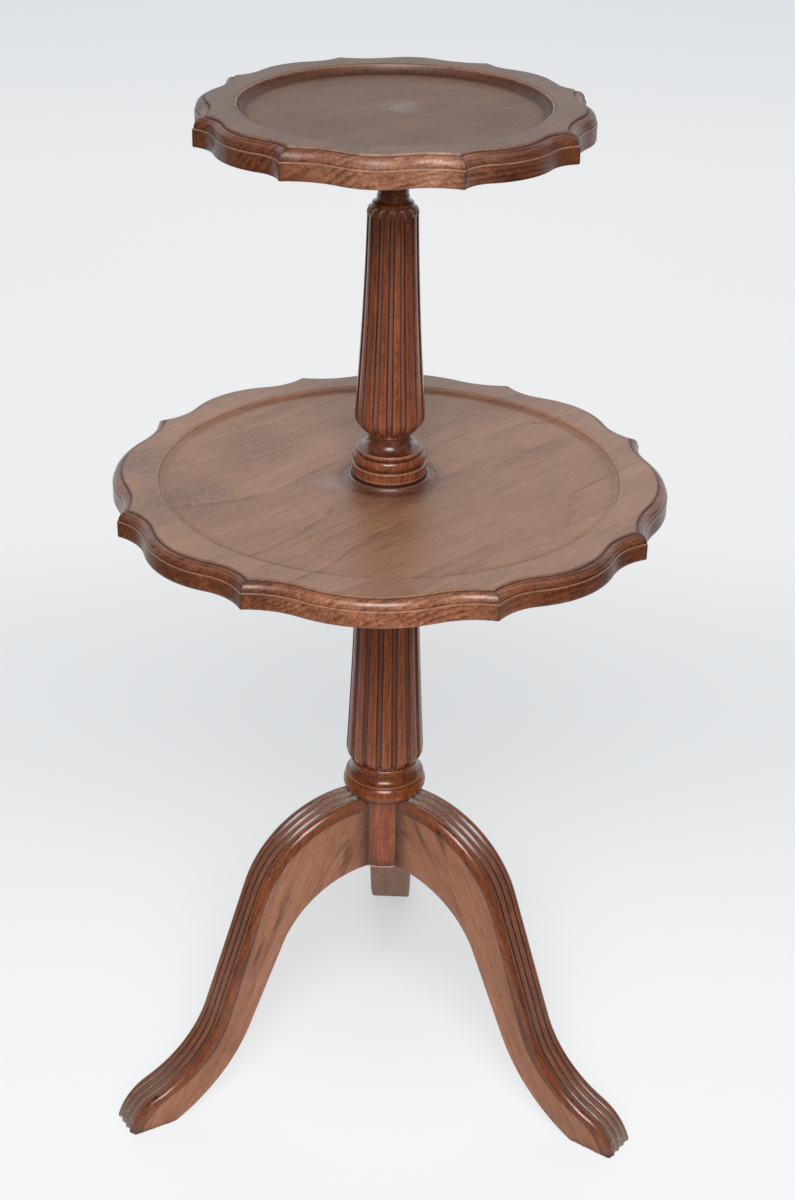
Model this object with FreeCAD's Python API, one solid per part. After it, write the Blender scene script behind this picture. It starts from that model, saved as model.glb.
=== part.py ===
import FreeCAD, Part
import math
import os

from FreeCAD import Placement, Rotation, Vector

# Two-tier side table: two pie-crust trays on a fluted column that stands on a
# tripod of reeded sabre legs. Millimetres, +Z up, the front is -Y. The origin is
# on the floor, on the column's axis. Directions in plan are degrees from the
# front, positive towards +X.

# Tripod
LEG_DIRECTIONS = {"front_left": -59.9, "front_right": 54.6, "rear": 177.6}
PAD_THICKNESS = 1.5          # felt pad under each foot
PAD_SETBACK = 1.5            # pad edge inside the edge of the foot
LEG_THICKNESS = 38.0
LEG_CREST_HEIGHT = 289.6     # top edge of a leg where it meets the hub
LEG_CREST_SLOPE_DEG = 1.1    # degrees above level, leaving the hub
LEG_KNEE_RADIUS = 106.8      # top edge, bending down
LEG_KNEE_TURN_DEG = 71.3
LEG_ANKLE_RADIUS = 115.2     # top edge, sweeping out to the foot
LEG_ANKLE_TURN_DEG = 47.4
LEG_TOE_RADIUS = 49.9        # top edge, rounding down over the toe
LEG_TOE_TURN_DEG = 50.4
LEG_ROOT_HEIGHT = 70.1       # height of a leg where it meets the hub
ARCH_SLOPE_DEG = 4.4         # degrees below level, leaving the hub
ARCH_RADIUS = 97.0          # under edge, bending down
ARCH_TURN_DEG = 61.9
HEEL_RADIUS = 168.4          # under edge, sweeping out to the heel
HEEL_TURN_DEG = 39.2
LEG_EDGE_ROUNDING = 6.0
REED_GROOVES = 3
REED_SPACING = 8.3
REED_GROOVE_RADIUS = 2.0

# Hub and the dovetails that hold the legs in it
HUB_RADIUS = 33.5
HUB_LENGTH = 70.5
DOVETAIL_DEPTH = 14.0
DOVETAIL_NECK = 11.0         # width at the hub's surface
DOVETAIL_ROOT = 16.0         # width at the inner end
DOVETAIL_STOP = 9.0          # from the leg's crest down to the dovetail's top
DOVETAIL_SHOULDER = 3.0      # wood that the dovetail and the cope run on into
GLUE_GAP = 0.1

# Iron plate under the hub
PLATE_THICKNESS = 1.6
PLATE_DISC_RADIUS = 25.0
PLATE_ARM_WIDTH = 15.0
PLATE_ARM_LENGTH = 48.0      # measured from the hub's edge, along the arch
PLATE_SCREW_FROM_END = 9.0
PLATE_HUB_SCREW_RADIUS = 14.0

# Trays
LOWER_TRAY_THICKNESS = 22.9
UPPER_TRAY_THICKNESS = 24.0
LOBE_PAIRS = 4               # a long and a short lobe each
LONG_LOBE_DEG = 49.5         # of a long lobe; a short one has the rest of its pair
LOWER_TRAY_TURN_DEG = -3.6
UPPER_TRAY_TURN_DEG = -6.2
LOWER_CORNER_REACH = 235.5
LOWER_CROWN_SETBACK = 1.5    # a lobe's crown inside the corners' circle
LOWER_LONG_CROWN = 116.0     # arc radii of the lobes, on the outer face
LOWER_LONG_COVE = 76.0
LOWER_SHORT_CROWN = 85.0
LOWER_SHORT_COVE = 50.0
UPPER_CORNER_REACH = 161.0
UPPER_CROWN_SETBACK = 4.3
UPPER_LONG_CROWN = 52.0
UPPER_LONG_COVE = 62.0
UPPER_SHORT_CROWN = 68.0
UPPER_SHORT_COVE = 28.0

# Moulded edge of both trays
QUIRK_DROP = 1.3             # sharp step below the rim's flat top
EDGE_WIDTH = 8.5             # from the fascia in to the quirk
OVOLO_RADIUS = 5.8
ARRIS_STEP = 0.9             # ledge between the ovolo and the fascia
LOWER_EDGE_DROP = 8.4        # from the rim down to the fascia
UPPER_EDGE_DROP = 9.6

# Dished middle of the trays
LOWER_BORDER = 41.3          # from the corners' circle in to the dish
LOWER_DISH_DEPTH = 3.5
LOWER_DISH_COVE = 6.0
UPPER_BORDER = 38.6
UPPER_DISH_DEPTH = 7.0
UPPER_DISH_COVE = 6.4
DISH_LIP = 1.2
BOSS_RADIUS = 33.8           # raised seat in the lower tray for the upper column
BOSS_COVE = 6.5

# Bearer blocks under the trays
BEARER_THICKNESS = 20.5
LOWER_BEARER_RADIUS = 62.0
UPPER_BEARER_RADIUS = 46.0
BEARER_ROUNDING = 4.0
BEARER_SCREWS = 4
LOWER_SCREW_CIRCLE = 45.0    # radius
UPPER_SCREW_CIRCLE = 31.0
SCREW_INTO_TRAY = 11.0

# Wood screws
SCREW_HEAD_RADIUS = 4.0
SCREW_SHANK_RADIUS = 2.1
SCREW_HEAD_HEIGHT = 2.4
SCREW_POINT = 4.0
SCREW_SLOT_WIDTH = 1.0
SCREW_SLOT_DEPTH = 1.0
PLATE_SCREW_LENGTH = 20.0

# Flutes
FLUTE_COUNT = 15
FLUTE_STAND_OFF = 0.4        # the cutter's centre line outside the wood
FLUTE_RISE = 1.2             # and above the bulb's own curve
FLUTE_RUN_OUT_RADIUS = 4.0
FLUTE_RUN_OUT_TURN_DEG = 75.0
LOWER_FLUTE_RADIUS = 3.1
UPPER_FLUTE_RADIUS = 2.4
LOWER_FLUTE_TURN_DEG = -9.2  # direction of the first flute
UPPER_FLUTE_TURN_DEG = -0.9

# Lower column, above the hub
BASE_TORUS_HEIGHT = 14.9
BASE_TORUS_SWELL = 3.2
BASE_TORUS_TOP_RADIUS = 34.2
SAUCER_LIP_RADIUS = 34.9
SAUCER_LIP_HEIGHT = 2.2
SAUCER_LIP_BEVEL = 0.6
SAUCER_NECK_RADIUS = 28.6
SAUCER_HEIGHT = 10.3
LOWER_BEAD_HEIGHT = 4.6
LOWER_BEAD_SWELL = 1.3
LOWER_BULB_FOOT_RADIUS = 27.6
LOWER_BULB_RADIUS = 11.89
LOWER_BULB_START_DEG = 24.3  # degrees above level where the bulb leaves the bead
LOWER_FLUTE_START_DEG = 37.0 # the same, where the flutes begin
LOWER_BULB_END_DEG = 93.1    # the same, where the taper begins
LOWER_SHAFT_RADIUS = 6870.0
LOWER_SHAFT_TURN_DEG = 1.5
LOWER_SHOULDER_HEIGHT = 7.0
LOWER_NECK_RING_RADIUS = 22.0
LOWER_NECK_RADIUS = 17.6
LOWER_COLLAR_RADIUS = 23.5
LOWER_TENON_RADIUS = 17.0

# Upper column
FOOT_BEVEL = 1.3
FOOT_BAND_RADIUS = 31.4
FOOT_BAND_HEIGHT = 10.4
FOOT_GROOVE_RADIUS = 29.2
FOOT_GROOVE_HEIGHT = 1.6
FOOT_TORUS_HEIGHT = 8.4
FOOT_TORUS_SWELL = 2.1
FOOT_LIP_RADIUS = 27.2
FOOT_LIP_HEIGHT = 3.6
WAIST_RADIUS = 17.6
WAIST_COVE_HEIGHT = 10.6
WAIST_HEIGHT = 1.4
UPPER_BEAD_HEIGHT = 2.6
UPPER_BEAD_SWELL = 1.4
UPPER_BULB_FOOT_RADIUS = 18.3
UPPER_BULB_RADIUS = 16.0
UPPER_BULB_START_DEG = 18.0
UPPER_FLUTE_START_DEG = 36.0
UPPER_BULB_END_DEG = 94.3
UPPER_SHAFT_RADIUS = 3490.0
UPPER_SHAFT_TURN_DEG = 2.78
UPPER_SHOULDER_HEIGHT = 6.7
UPPER_NECK_RING_RADIUS = 17.0
UPPER_NECK_RADIUS = 12.4
UPPER_COLLAR_RADIUS = 17.5
UPPER_TENON_RADIUS = 11.0

# Necks of both columns
NECK_RING_HEIGHT = 1.6
NECK_RING_STEP = 0.5
NECK_SCOTIA_RISE = 8.0       # ring to the narrowest point
NECK_FLARE_RISE = 12.5       # narrowest point to the collar
COLLAR_FILLET = 3.0
COLLAR_TORUS_HEIGHT = 9.0
COLLAR_SWELL = 2.4

# Spigot that joins the columns through the lower tray
SPIGOT_RADIUS = 11.0
SPIGOT_INTO_COLUMN = 45.0
SOCKET_END_GAP = 2.0

# Wedge in the top of the upper tenon
WEDGE_DEPTH = 14.0
WEDGE_TOP = 3.0
WEDGE_TIP = 1.0

PLAN_TOLERANCE = 1e-6


class Outline:
    """A profile drawn in the XZ plane: x is the radius from the axis, z the height."""

    def __init__(self, x, z, heading=0.0):
        self.x, self.z, self.heading = x, z, math.radians(heading)
        self.edges = []

    def point(self):
        return Vector(self.x, 0, self.z)

    def to(self, x, rise=0.0, swell=0.0):
        """To radius x and up by rise; swell bows the line away from the axis, or in if negative."""
        start = self.point()
        self.x, self.z = x, self.z + rise
        end = self.point()
        if swell:
            along = (end - start).normalize()
            middle = (start + end) * 0.5 + Vector(along.z, 0, -along.x) * swell
            self.edges.append(Part.Arc(start, middle, end).toShape())
        else:
            self.edges.append(Part.makeLine(start, end))
        return self

    def line(self, length):
        start = self.point()
        self.x += length * math.cos(self.heading)
        self.z += length * math.sin(self.heading)
        self.edges.append(Part.makeLine(start, self.point()))
        return self

    def arc(self, radius, turn):
        """An arc tangent to the heading, turning left by turn degrees, or right if negative."""
        side = math.copysign(1.0, turn)
        centre_x = self.x - side * radius * math.sin(self.heading)
        centre_z = self.z + side * radius * math.cos(self.heading)

        def at(heading):
            return Vector(
                centre_x + side * radius * math.sin(heading), 0, centre_z - side * radius * math.cos(heading)
            )

        end_heading = self.heading + math.radians(turn)
        start, end = self.point(), at(end_heading)
        self.edges.append(Part.Arc(start, at((self.heading + end_heading) / 2), end).toShape())
        self.x, self.z, self.heading = end.x, end.z, end_heading
        return self

    def down_to(self, z):
        """A straight along the heading to height z, if the outline is still above it."""
        if self.z - z > PLAN_TOLERANCE:
            self.line((z - self.z) / math.sin(self.heading))
        return self


def drop_of(radius, turn, heading):
    """How far an arc climbs, from its heading and turn in degrees."""
    side = math.copysign(1.0, turn)
    start, end = math.radians(heading), math.radians(heading + turn)
    return side * radius * (math.cos(start) - math.cos(end))


def turned(outline, inner_x=0.0):
    """The solid that the outline sweeps about the axis, closed along the radius inner_x."""
    first, last = outline.edges[0].Vertexes[0].Point, outline.point()
    corners = [last, Vector(inner_x, 0, last.z), Vector(inner_x, 0, first.z), first]
    closing = [
        Part.makeLine(a, b) for a, b in zip(corners, corners[1:]) if (b - a).Length > PLAN_TOLERANCE
    ]
    wire = Part.Wire(Part.__sortEdges__(outline.edges + closing))
    return Part.Face(wire).revolve(Vector(0, 0, 0), Vector(0, 0, 1), 360)


def plan_point(radius, direction, z=0.0):
    a = math.radians(direction)
    return Vector(radius * math.sin(a), -radius * math.cos(a), z)


def turn_to(shape, direction):
    """Turns a shape drawn along +X to a direction in plan."""
    turned_shape = shape.copy()
    turned_shape.rotate(Vector(0, 0, 0), Vector(0, 0, 1), direction - 90)
    return turned_shape


# ---- Fluted columns ----


def shaft_outline(z, foot_radius, foot_slope, bulb_radius, bulb_end, shaft_radius, shaft_turn):
    """The bulb and the tapered shaft above it, from height z."""
    outline = Outline(foot_radius, z, foot_slope)
    return outline.arc(bulb_radius, bulb_end - foot_slope).arc(shaft_radius, -shaft_turn)


def flute_path(z, foot_radius, foot_slope, bulb_radius, bulb_end, shaft_radius, shaft_turn, begin):
    """Where a flute's cutter runs: in below the bulb, up the shaft, and out again.

    begin is the heading on the bulb at which the flute starts.
    """
    foot, start = math.radians(foot_slope), math.radians(begin)
    x = foot_radius + bulb_radius * (math.sin(start) - math.sin(foot))
    z += bulb_radius * (math.cos(foot) - math.cos(start)) + FLUTE_RISE
    x += FLUTE_STAND_OFF * math.sin(start)
    z -= FLUTE_STAND_OFF * math.cos(start)
    outside = start + math.radians(FLUTE_RUN_OUT_TURN_DEG)
    x += FLUTE_RUN_OUT_RADIUS * (math.sin(start) - math.sin(outside))
    z -= FLUTE_RUN_OUT_RADIUS * (math.cos(start) - math.cos(outside))
    path = Outline(x, z, begin + FLUTE_RUN_OUT_TURN_DEG)
    path.arc(FLUTE_RUN_OUT_RADIUS, -FLUTE_RUN_OUT_TURN_DEG)
    path.arc(bulb_radius + FLUTE_STAND_OFF, bulb_end - begin)
    path.arc(shaft_radius - FLUTE_STAND_OFF, -shaft_turn)
    return path.arc(FLUTE_RUN_OUT_RADIUS, -FLUTE_RUN_OUT_TURN_DEG)


def round_cutter(edges, radius):
    """A round cutter along edges in the XZ plane, its seams in that plane."""
    start = edges[0].valueAt(edges[0].FirstParameter)
    along = edges[0].tangentAt(edges[0].FirstParameter)
    out = Vector(along.z, 0, -along.x) * radius
    side = Vector(0, radius, 0)
    halves = [
        Part.Arc(start + out, start + side, start - out).toShape(),
        Part.Arc(start - out, start - side, start + out).toShape(),
    ]
    return Part.Wire(edges).makePipeShell([Part.Wire(halves)], True, False)


def fluted(shaft, path, flute_radius, first_direction):
    """The shaft outline as a solid with a ring of flutes."""
    cutter = round_cutter(path.edges, flute_radius)
    directions = [first_direction + i * 360.0 / FLUTE_COUNT for i in range(FLUTE_COUNT)]
    return turned(shaft).cut([turn_to(cutter, direction) for direction in directions])


def neck(outline, shoulder_height, ring_radius, neck_radius, collar_radius):
    """Shoulder, ring, scotia and collar above a shaft, up to the bearer block."""
    rise = outline.x - ring_radius
    outline.to(ring_radius + NECK_RING_STEP, shoulder_height, 0.207 * math.hypot(rise, shoulder_height))
    outline.to(ring_radius, 0.0)
    outline.to(ring_radius, NECK_RING_HEIGHT)
    outline.to(ring_radius - NECK_RING_STEP, 0.0)
    depth = ring_radius - neck_radius
    outline.to(neck_radius, NECK_SCOTIA_RISE, -0.17 * math.hypot(depth, NECK_SCOTIA_RISE))
    depth = collar_radius - neck_radius
    outline.to(collar_radius, NECK_FLARE_RISE, -0.14 * math.hypot(depth, NECK_FLARE_RISE))
    outline.to(collar_radius, COLLAR_FILLET)
    outline.to(collar_radius, COLLAR_TORUS_HEIGHT, COLLAR_SWELL)
    outline.to(collar_radius, COLLAR_FILLET)
    return outline


def base_turning(z):
    outline = Outline(HUB_RADIUS, z)
    outline.to(HUB_RADIUS, HUB_LENGTH)
    outline.to(BASE_TORUS_TOP_RADIUS, BASE_TORUS_HEIGHT, BASE_TORUS_SWELL)
    outline.to(SAUCER_LIP_RADIUS, SAUCER_LIP_BEVEL)
    outline.to(SAUCER_LIP_RADIUS, SAUCER_LIP_HEIGHT)
    depth = SAUCER_LIP_RADIUS - SAUCER_NECK_RADIUS
    outline.to(SAUCER_NECK_RADIUS, SAUCER_HEIGHT, -0.15 * math.hypot(depth, SAUCER_HEIGHT))
    outline.to(SAUCER_NECK_RADIUS, LOWER_BEAD_HEIGHT, LOWER_BEAD_SWELL)
    return outline


def foot_turning(z):
    outline = Outline(FOOT_BAND_RADIUS - FOOT_BEVEL, z)
    outline.to(FOOT_BAND_RADIUS, FOOT_BEVEL)
    outline.to(FOOT_BAND_RADIUS, FOOT_BAND_HEIGHT)
    outline.to(FOOT_GROOVE_RADIUS, 0.0)
    outline.to(FOOT_GROOVE_RADIUS, FOOT_GROOVE_HEIGHT)
    outline.to(FOOT_GROOVE_RADIUS, FOOT_TORUS_HEIGHT, FOOT_TORUS_SWELL)
    outline.to(FOOT_LIP_RADIUS, 0.0)
    outline.to(FOOT_LIP_RADIUS, FOOT_LIP_HEIGHT)
    depth = FOOT_LIP_RADIUS - WAIST_RADIUS
    outline.to(WAIST_RADIUS, WAIST_COVE_HEIGHT, -0.2 * math.hypot(depth, WAIST_COVE_HEIGHT))
    outline.to(WAIST_RADIUS, WAIST_HEIGHT)
    outline.to(WAIST_RADIUS, UPPER_BEAD_HEIGHT, UPPER_BEAD_SWELL)
    return outline


def single(shape):
    """The one solid in a result."""
    return shape.Solids[0] if len(shape.Solids) == 1 else shape


def joined(shapes):
    return single(shapes[0].fuse(shapes[1:]).removeSplitter())


# ---- Trays ----


def circle_meet(centre_a, radius_a, centre_b, radius_b, near):
    """The point where two circles in plan meet, the one nearer to a given point."""
    between = centre_b - centre_a
    span = between.Length
    along = (radius_a ** 2 - radius_b ** 2 + span ** 2) / (2 * span)
    aside = math.sqrt(radius_a ** 2 - along ** 2)
    unit = between * (1 / span)
    normal = Vector(-unit.y, unit.x, 0)
    meets = [centre_a + unit * along + normal * side for side in (aside, -aside)]
    return min(meets, key=lambda p: (p - near).Length)


def arc_about(centre, radius, start, end):
    """The short arc about a centre from one point to another."""
    chord_middle = (start + end) * 0.5
    middle = centre + (chord_middle - centre).normalize() * radius
    return Part.Arc(start, middle, end).toShape()


def pie_crust(corner_reach, crown_setback, arcs, turn, inset):
    """The scalloped outline in plan, inset from the tray's outer face.

    Long and short lobes alternate. A lobe is a crown between two coves, and the
    coves of neighbouring lobes meet in a sharp corner. arcs holds the crown and
    cove radii of the long lobe and then of the short one.
    """
    spans = (LONG_LOBE_DEG, 360.0 / LOBE_PAIRS - LONG_LOBE_DEG)
    lobe_count = 2 * LOBE_PAIRS
    lobes = []
    direction = turn
    for i in range(lobe_count):
        crown_radius, cove_radius = arcs[i % 2]
        half = spans[i % 2] / 2
        corners = [plan_point(corner_reach, direction + side * half) for side in (-1, 1)]
        crown_centre = plan_point(corner_reach - crown_setback - crown_radius, direction)
        outside = plan_point(2 * corner_reach, direction)
        coves = [
            circle_meet(corner, cove_radius, crown_centre, crown_radius + cove_radius, outside)
            for corner in corners
        ]
        lobes.append((crown_centre, crown_radius, coves, cove_radius, corners))
        direction += half + spans[(i + 1) % 2] / 2
    edges = []
    for i, (crown_centre, crown_radius, coves, cove_radius, corners) in enumerate(lobes):
        before, after = lobes[i - 1], lobes[(i + 1) % lobe_count]
        start = circle_meet(before[2][1], before[3] + inset, coves[0], cove_radius + inset, corners[0])
        end = circle_meet(coves[1], cove_radius + inset, after[2][0], after[3] + inset, corners[1])
        tangents = [
            crown_centre + (cove - crown_centre).normalize() * (crown_radius - inset) for cove in coves
        ]
        edges.append(arc_about(coves[0], cove_radius + inset, start, tangents[0]))
        edges.append(arc_about(crown_centre, crown_radius - inset, tangents[0], tangents[1]))
        edges.append(arc_about(coves[1], cove_radius + inset, tangents[1], end))
    return Part.Face(Part.Wire(edges))


def slab(face, z, height):
    placed = face.copy()
    placed.translate(Vector(0, 0, z))
    return placed.extrude(Vector(0, 0, height))


def top_edges(solid, z):
    return [e for e in solid.Edges if abs(e.BoundBox.ZMin - z) < 1e-4 and abs(e.BoundBox.ZMax - z) < 1e-4]


def dish_cutter(z, dish_radius, depth, cove, boss_radius=0.0):
    """What the lathe takes out of a tray's top, with its face at height z."""
    above = 5.0
    outline = Outline(dish_radius + DISH_LIP, z + above)
    outline.to(dish_radius + DISH_LIP, -above)
    outline.to(dish_radius - 0.3 * DISH_LIP, -DISH_LIP, -0.2 * DISH_LIP)
    drop = depth - DISH_LIP
    outline.to(dish_radius - cove, -drop, 0.2 * math.hypot(cove, drop))
    if boss_radius:
        outline.to(boss_radius + BOSS_COVE)
        outline.to(boss_radius, depth, 0.18 * math.hypot(BOSS_COVE, depth))
        outline.to(boss_radius, above)
        return turned(outline, boss_radius)
    return turned(outline)


def tray_blank(base_z, thickness, edge_drop, crust):
    """A tray before it is dished: fascia, ovolo and flat rim. crust(inset) gives its outline."""
    top_z = base_z + thickness
    fascia = slab(crust(0.0), base_z, thickness - edge_drop)
    ovolo = slab(crust(ARRIS_STEP), top_z - edge_drop, edge_drop - QUIRK_DROP)
    ovolo = ovolo.makeFillet(OVOLO_RADIUS, top_edges(ovolo, top_z - QUIRK_DROP))
    rim = slab(crust(EDGE_WIDTH), top_z - QUIRK_DROP, QUIRK_DROP)
    return joined([fascia, ovolo, rim])


# ---- Screws ----


def wood_screw(length):
    """A countersunk slotted screw, head down at the origin and its point up along +Z."""
    outline = Outline(SCREW_HEAD_RADIUS, 0.0)
    outline.to(SCREW_SHANK_RADIUS, SCREW_HEAD_HEIGHT)
    outline.to(SCREW_SHANK_RADIUS, length - SCREW_HEAD_HEIGHT - SCREW_POINT)
    outline.to(0.3, SCREW_POINT)
    return turned(outline)


def slotted(screw_shape):
    slot = Part.makeBox(3 * SCREW_HEAD_RADIUS, SCREW_SLOT_WIDTH, SCREW_SLOT_DEPTH)
    slot.translate(Vector(-1.5 * SCREW_HEAD_RADIUS, -SCREW_SLOT_WIDTH / 2, 0))
    return screw_shape.cut(slot)


def set_screws(length, places):
    """Plain and slotted screws at (point, upward axis) places; the plain ones cut the wood."""
    plain, finished = [], []
    for point, axis in places:
        for made, screw_shape in ((plain, wood_screw(length)), (finished, slotted(wood_screw(length)))):
            screw_shape.Placement = Placement(point, Rotation(Vector(0, 0, 1), axis))
            made.append(screw_shape)
    return plain, finished


def bearer_screws(circle, base_z, turn):
    places = [
        (plan_point(circle, turn + 45 + i * 360.0 / BEARER_SCREWS, base_z), Vector(0, 0, 1))
        for i in range(BEARER_SCREWS)
    ]
    return set_screws(BEARER_THICKNESS + SCREW_INTO_TRAY, places)


def bearer(radius, bore_radius, base_z, screws):
    block = Part.makeCylinder(radius, BEARER_THICKNESS, Vector(0, 0, base_z))
    block = block.makeFillet(BEARER_ROUNDING, top_edges(block, base_z))
    bore = Part.makeCylinder(bore_radius, BEARER_THICKNESS, Vector(0, 0, base_z))
    return single(block.cut([bore] + screws))


# ---- Tripod ----


def leg_top_edge(start_x, crest_z, sole_z, lead=0.0):
    """The top edge of a leg, from the hub down to the sole, with a straight lead before it."""
    lean = LEG_CREST_SLOPE_DEG - LEG_KNEE_TURN_DEG
    bends = drop_of(LEG_KNEE_RADIUS, -LEG_KNEE_TURN_DEG, LEG_CREST_SLOPE_DEG)
    bends += drop_of(LEG_ANKLE_RADIUS, LEG_ANKLE_TURN_DEG, lean)
    bends += drop_of(LEG_TOE_RADIUS, -LEG_TOE_TURN_DEG, lean + LEG_ANKLE_TURN_DEG)
    straight = (sole_z - crest_z - bends) / math.sin(math.radians(lean))
    slope = math.radians(LEG_CREST_SLOPE_DEG)
    outline = Outline(start_x - lead, crest_z - lead * math.tan(slope), LEG_CREST_SLOPE_DEG)
    if lead:
        outline.line(lead / math.cos(slope))
    outline.arc(LEG_KNEE_RADIUS, -LEG_KNEE_TURN_DEG).line(straight)
    outline.arc(LEG_ANKLE_RADIUS, LEG_ANKLE_TURN_DEG).arc(LEG_TOE_RADIUS, -LEG_TOE_TURN_DEG)
    return outline


def leg_under_edge(start_x, root_z, sole_z):
    """The under edge of a leg, from the hub down to the heel."""
    lean = -ARCH_SLOPE_DEG - ARCH_TURN_DEG
    bends = drop_of(ARCH_RADIUS, -ARCH_TURN_DEG, -ARCH_SLOPE_DEG) + drop_of(HEEL_RADIUS, HEEL_TURN_DEG, lean)
    straight = (sole_z - root_z - bends) / math.sin(math.radians(lean))
    outline = Outline(start_x, root_z, -ARCH_SLOPE_DEG)
    return outline.arc(ARCH_RADIUS, -ARCH_TURN_DEG).line(straight).arc(HEEL_RADIUS, HEEL_TURN_DEG)


def dovetail(bottom_z, top_z, gap):
    """The dovetail of a leg along +X, grown by gap on every side."""
    inner, outer = HUB_RADIUS - DOVETAIL_DEPTH - gap, HUB_RADIUS + DOVETAIL_SHOULDER
    flare = (DOVETAIL_ROOT - DOVETAIL_NECK) / 2 / DOVETAIL_DEPTH
    root = DOVETAIL_ROOT / 2 + gap
    mouth = root - flare * (outer - inner)
    corners = [
        Vector(inner, -root, 0), Vector(outer, -mouth, 0), Vector(outer, mouth, 0), Vector(inner, root, 0)
    ]
    face = Part.Face(Part.makePolygon(corners + corners[:1]))
    return slab(face, bottom_z, top_z - bottom_z + gap)


def middle_of(edge):
    return edge.valueAt((edge.FirstParameter + edge.LastParameter) / 2)


def leg_blank():
    """One leg along +X, with its dovetail and reeding."""
    crest_z, root_z = LEG_CREST_HEIGHT, LEG_CREST_HEIGHT - LEG_ROOT_HEIGHT
    cope = math.sqrt(HUB_RADIUS ** 2 - (LEG_THICKNESS / 2) ** 2) - DOVETAIL_SHOULDER
    top = leg_top_edge(HUB_RADIUS, crest_z, PAD_THICKNESS, HUB_RADIUS - cope)
    under = leg_under_edge(HUB_RADIUS, root_z, PAD_THICKNESS)
    first = top.edges[0].Vertexes[0].Point
    back = Part.makePolygon([first, Vector(cope, 0, root_z), Vector(HUB_RADIUS, 0, root_z)])
    edges = top.edges + under.edges + back.Edges + [Part.makeLine(top.point(), under.point())]
    side = Part.Face(Part.Wire(Part.__sortEdges__(edges)))
    side.translate(Vector(0, -LEG_THICKNESS / 2, 0))
    body = side.extrude(Vector(0, LEG_THICKNESS, 0))
    faces = [Vector(0, half * LEG_THICKNESS / 2, 0) for half in (-1, 1)]
    marks = [middle_of(edge) + face for edge in top.edges for face in faces]
    rounded = [e for e in body.Edges if min((middle_of(e) - m).Length for m in marks) < 1e-4]
    body = body.makeFillet(LEG_EDGE_ROUNDING, rounded)
    offsets = [(i - (REED_GROOVES - 1) / 2) * REED_SPACING for i in range(REED_GROOVES)]
    groove = round_cutter(top.edges, REED_GROOVE_RADIUS)
    body = body.cut([groove.translated(Vector(0, across, 0)) for across in offsets])
    body = body.cut(Part.makeCylinder(HUB_RADIUS, 2 * crest_z))
    return joined([body, dovetail(root_z, crest_z - DOVETAIL_STOP, 0.0)])


def foot_pad():
    """The felt pad under one foot, along +X."""
    sole = PAD_THICKNESS
    toe = leg_top_edge(HUB_RADIUS, LEG_CREST_HEIGHT, sole).x - PAD_SETBACK
    heel = leg_under_edge(HUB_RADIUS, LEG_CREST_HEIGHT - LEG_ROOT_HEIGHT, sole).x + PAD_SETBACK
    width = LEG_THICKNESS - 2 * PAD_SETBACK
    return Part.makeBox(toe - heel, width, PAD_THICKNESS, Vector(heel, -width / 2, 0))


def plate_arm(root_z):
    """One arm of the iron plate along +X, bent to the arch, and where its screw goes."""
    arch_angle = math.degrees(PLATE_ARM_LENGTH / ARCH_RADIUS)
    upper = Outline(HUB_RADIUS, root_z, -ARCH_SLOPE_DEG).arc(ARCH_RADIUS, -arch_angle)
    lower_radius = ARCH_RADIUS - PLATE_THICKNESS
    slope = math.radians(ARCH_SLOPE_DEG)
    start_x = HUB_RADIUS - PLATE_THICKNESS * math.sin(slope)
    start_z = root_z - PLATE_THICKNESS * math.cos(slope)
    lower = Outline(start_x, start_z, -ARCH_SLOPE_DEG).arc(lower_radius, -arch_angle)
    flat = [
        Vector(HUB_RADIUS, 0, root_z), Vector(0, 0, root_z), Vector(0, 0, root_z - PLATE_THICKNESS),
        Vector(start_x, 0, root_z - PLATE_THICKNESS), Vector(start_x, 0, start_z),
    ]
    edges = upper.edges + lower.edges + [e for e in Part.makePolygon(flat[:4]).Edges if e.Length > 0]
    if abs(flat[3].z - flat[4].z) > PLAN_TOLERANCE:
        edges.append(Part.makeLine(flat[3], flat[4]))
    edges.append(Part.makeLine(upper.point(), lower.point()))
    side = Part.Face(Part.Wire(Part.__sortEdges__(edges)))
    side.translate(Vector(0, -PLATE_ARM_WIDTH / 2, 0))
    arm = side.extrude(Vector(0, PLATE_ARM_WIDTH, 0))
    screw_angle = math.degrees((PLATE_ARM_LENGTH - PLATE_SCREW_FROM_END) / ARCH_RADIUS)
    place = Outline(start_x, start_z, -ARCH_SLOPE_DEG).arc(lower_radius, -screw_angle)
    axis = Vector(-math.sin(place.heading), 0, math.cos(place.heading))
    return arm, place.point(), axis


# ---- The table ----


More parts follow.
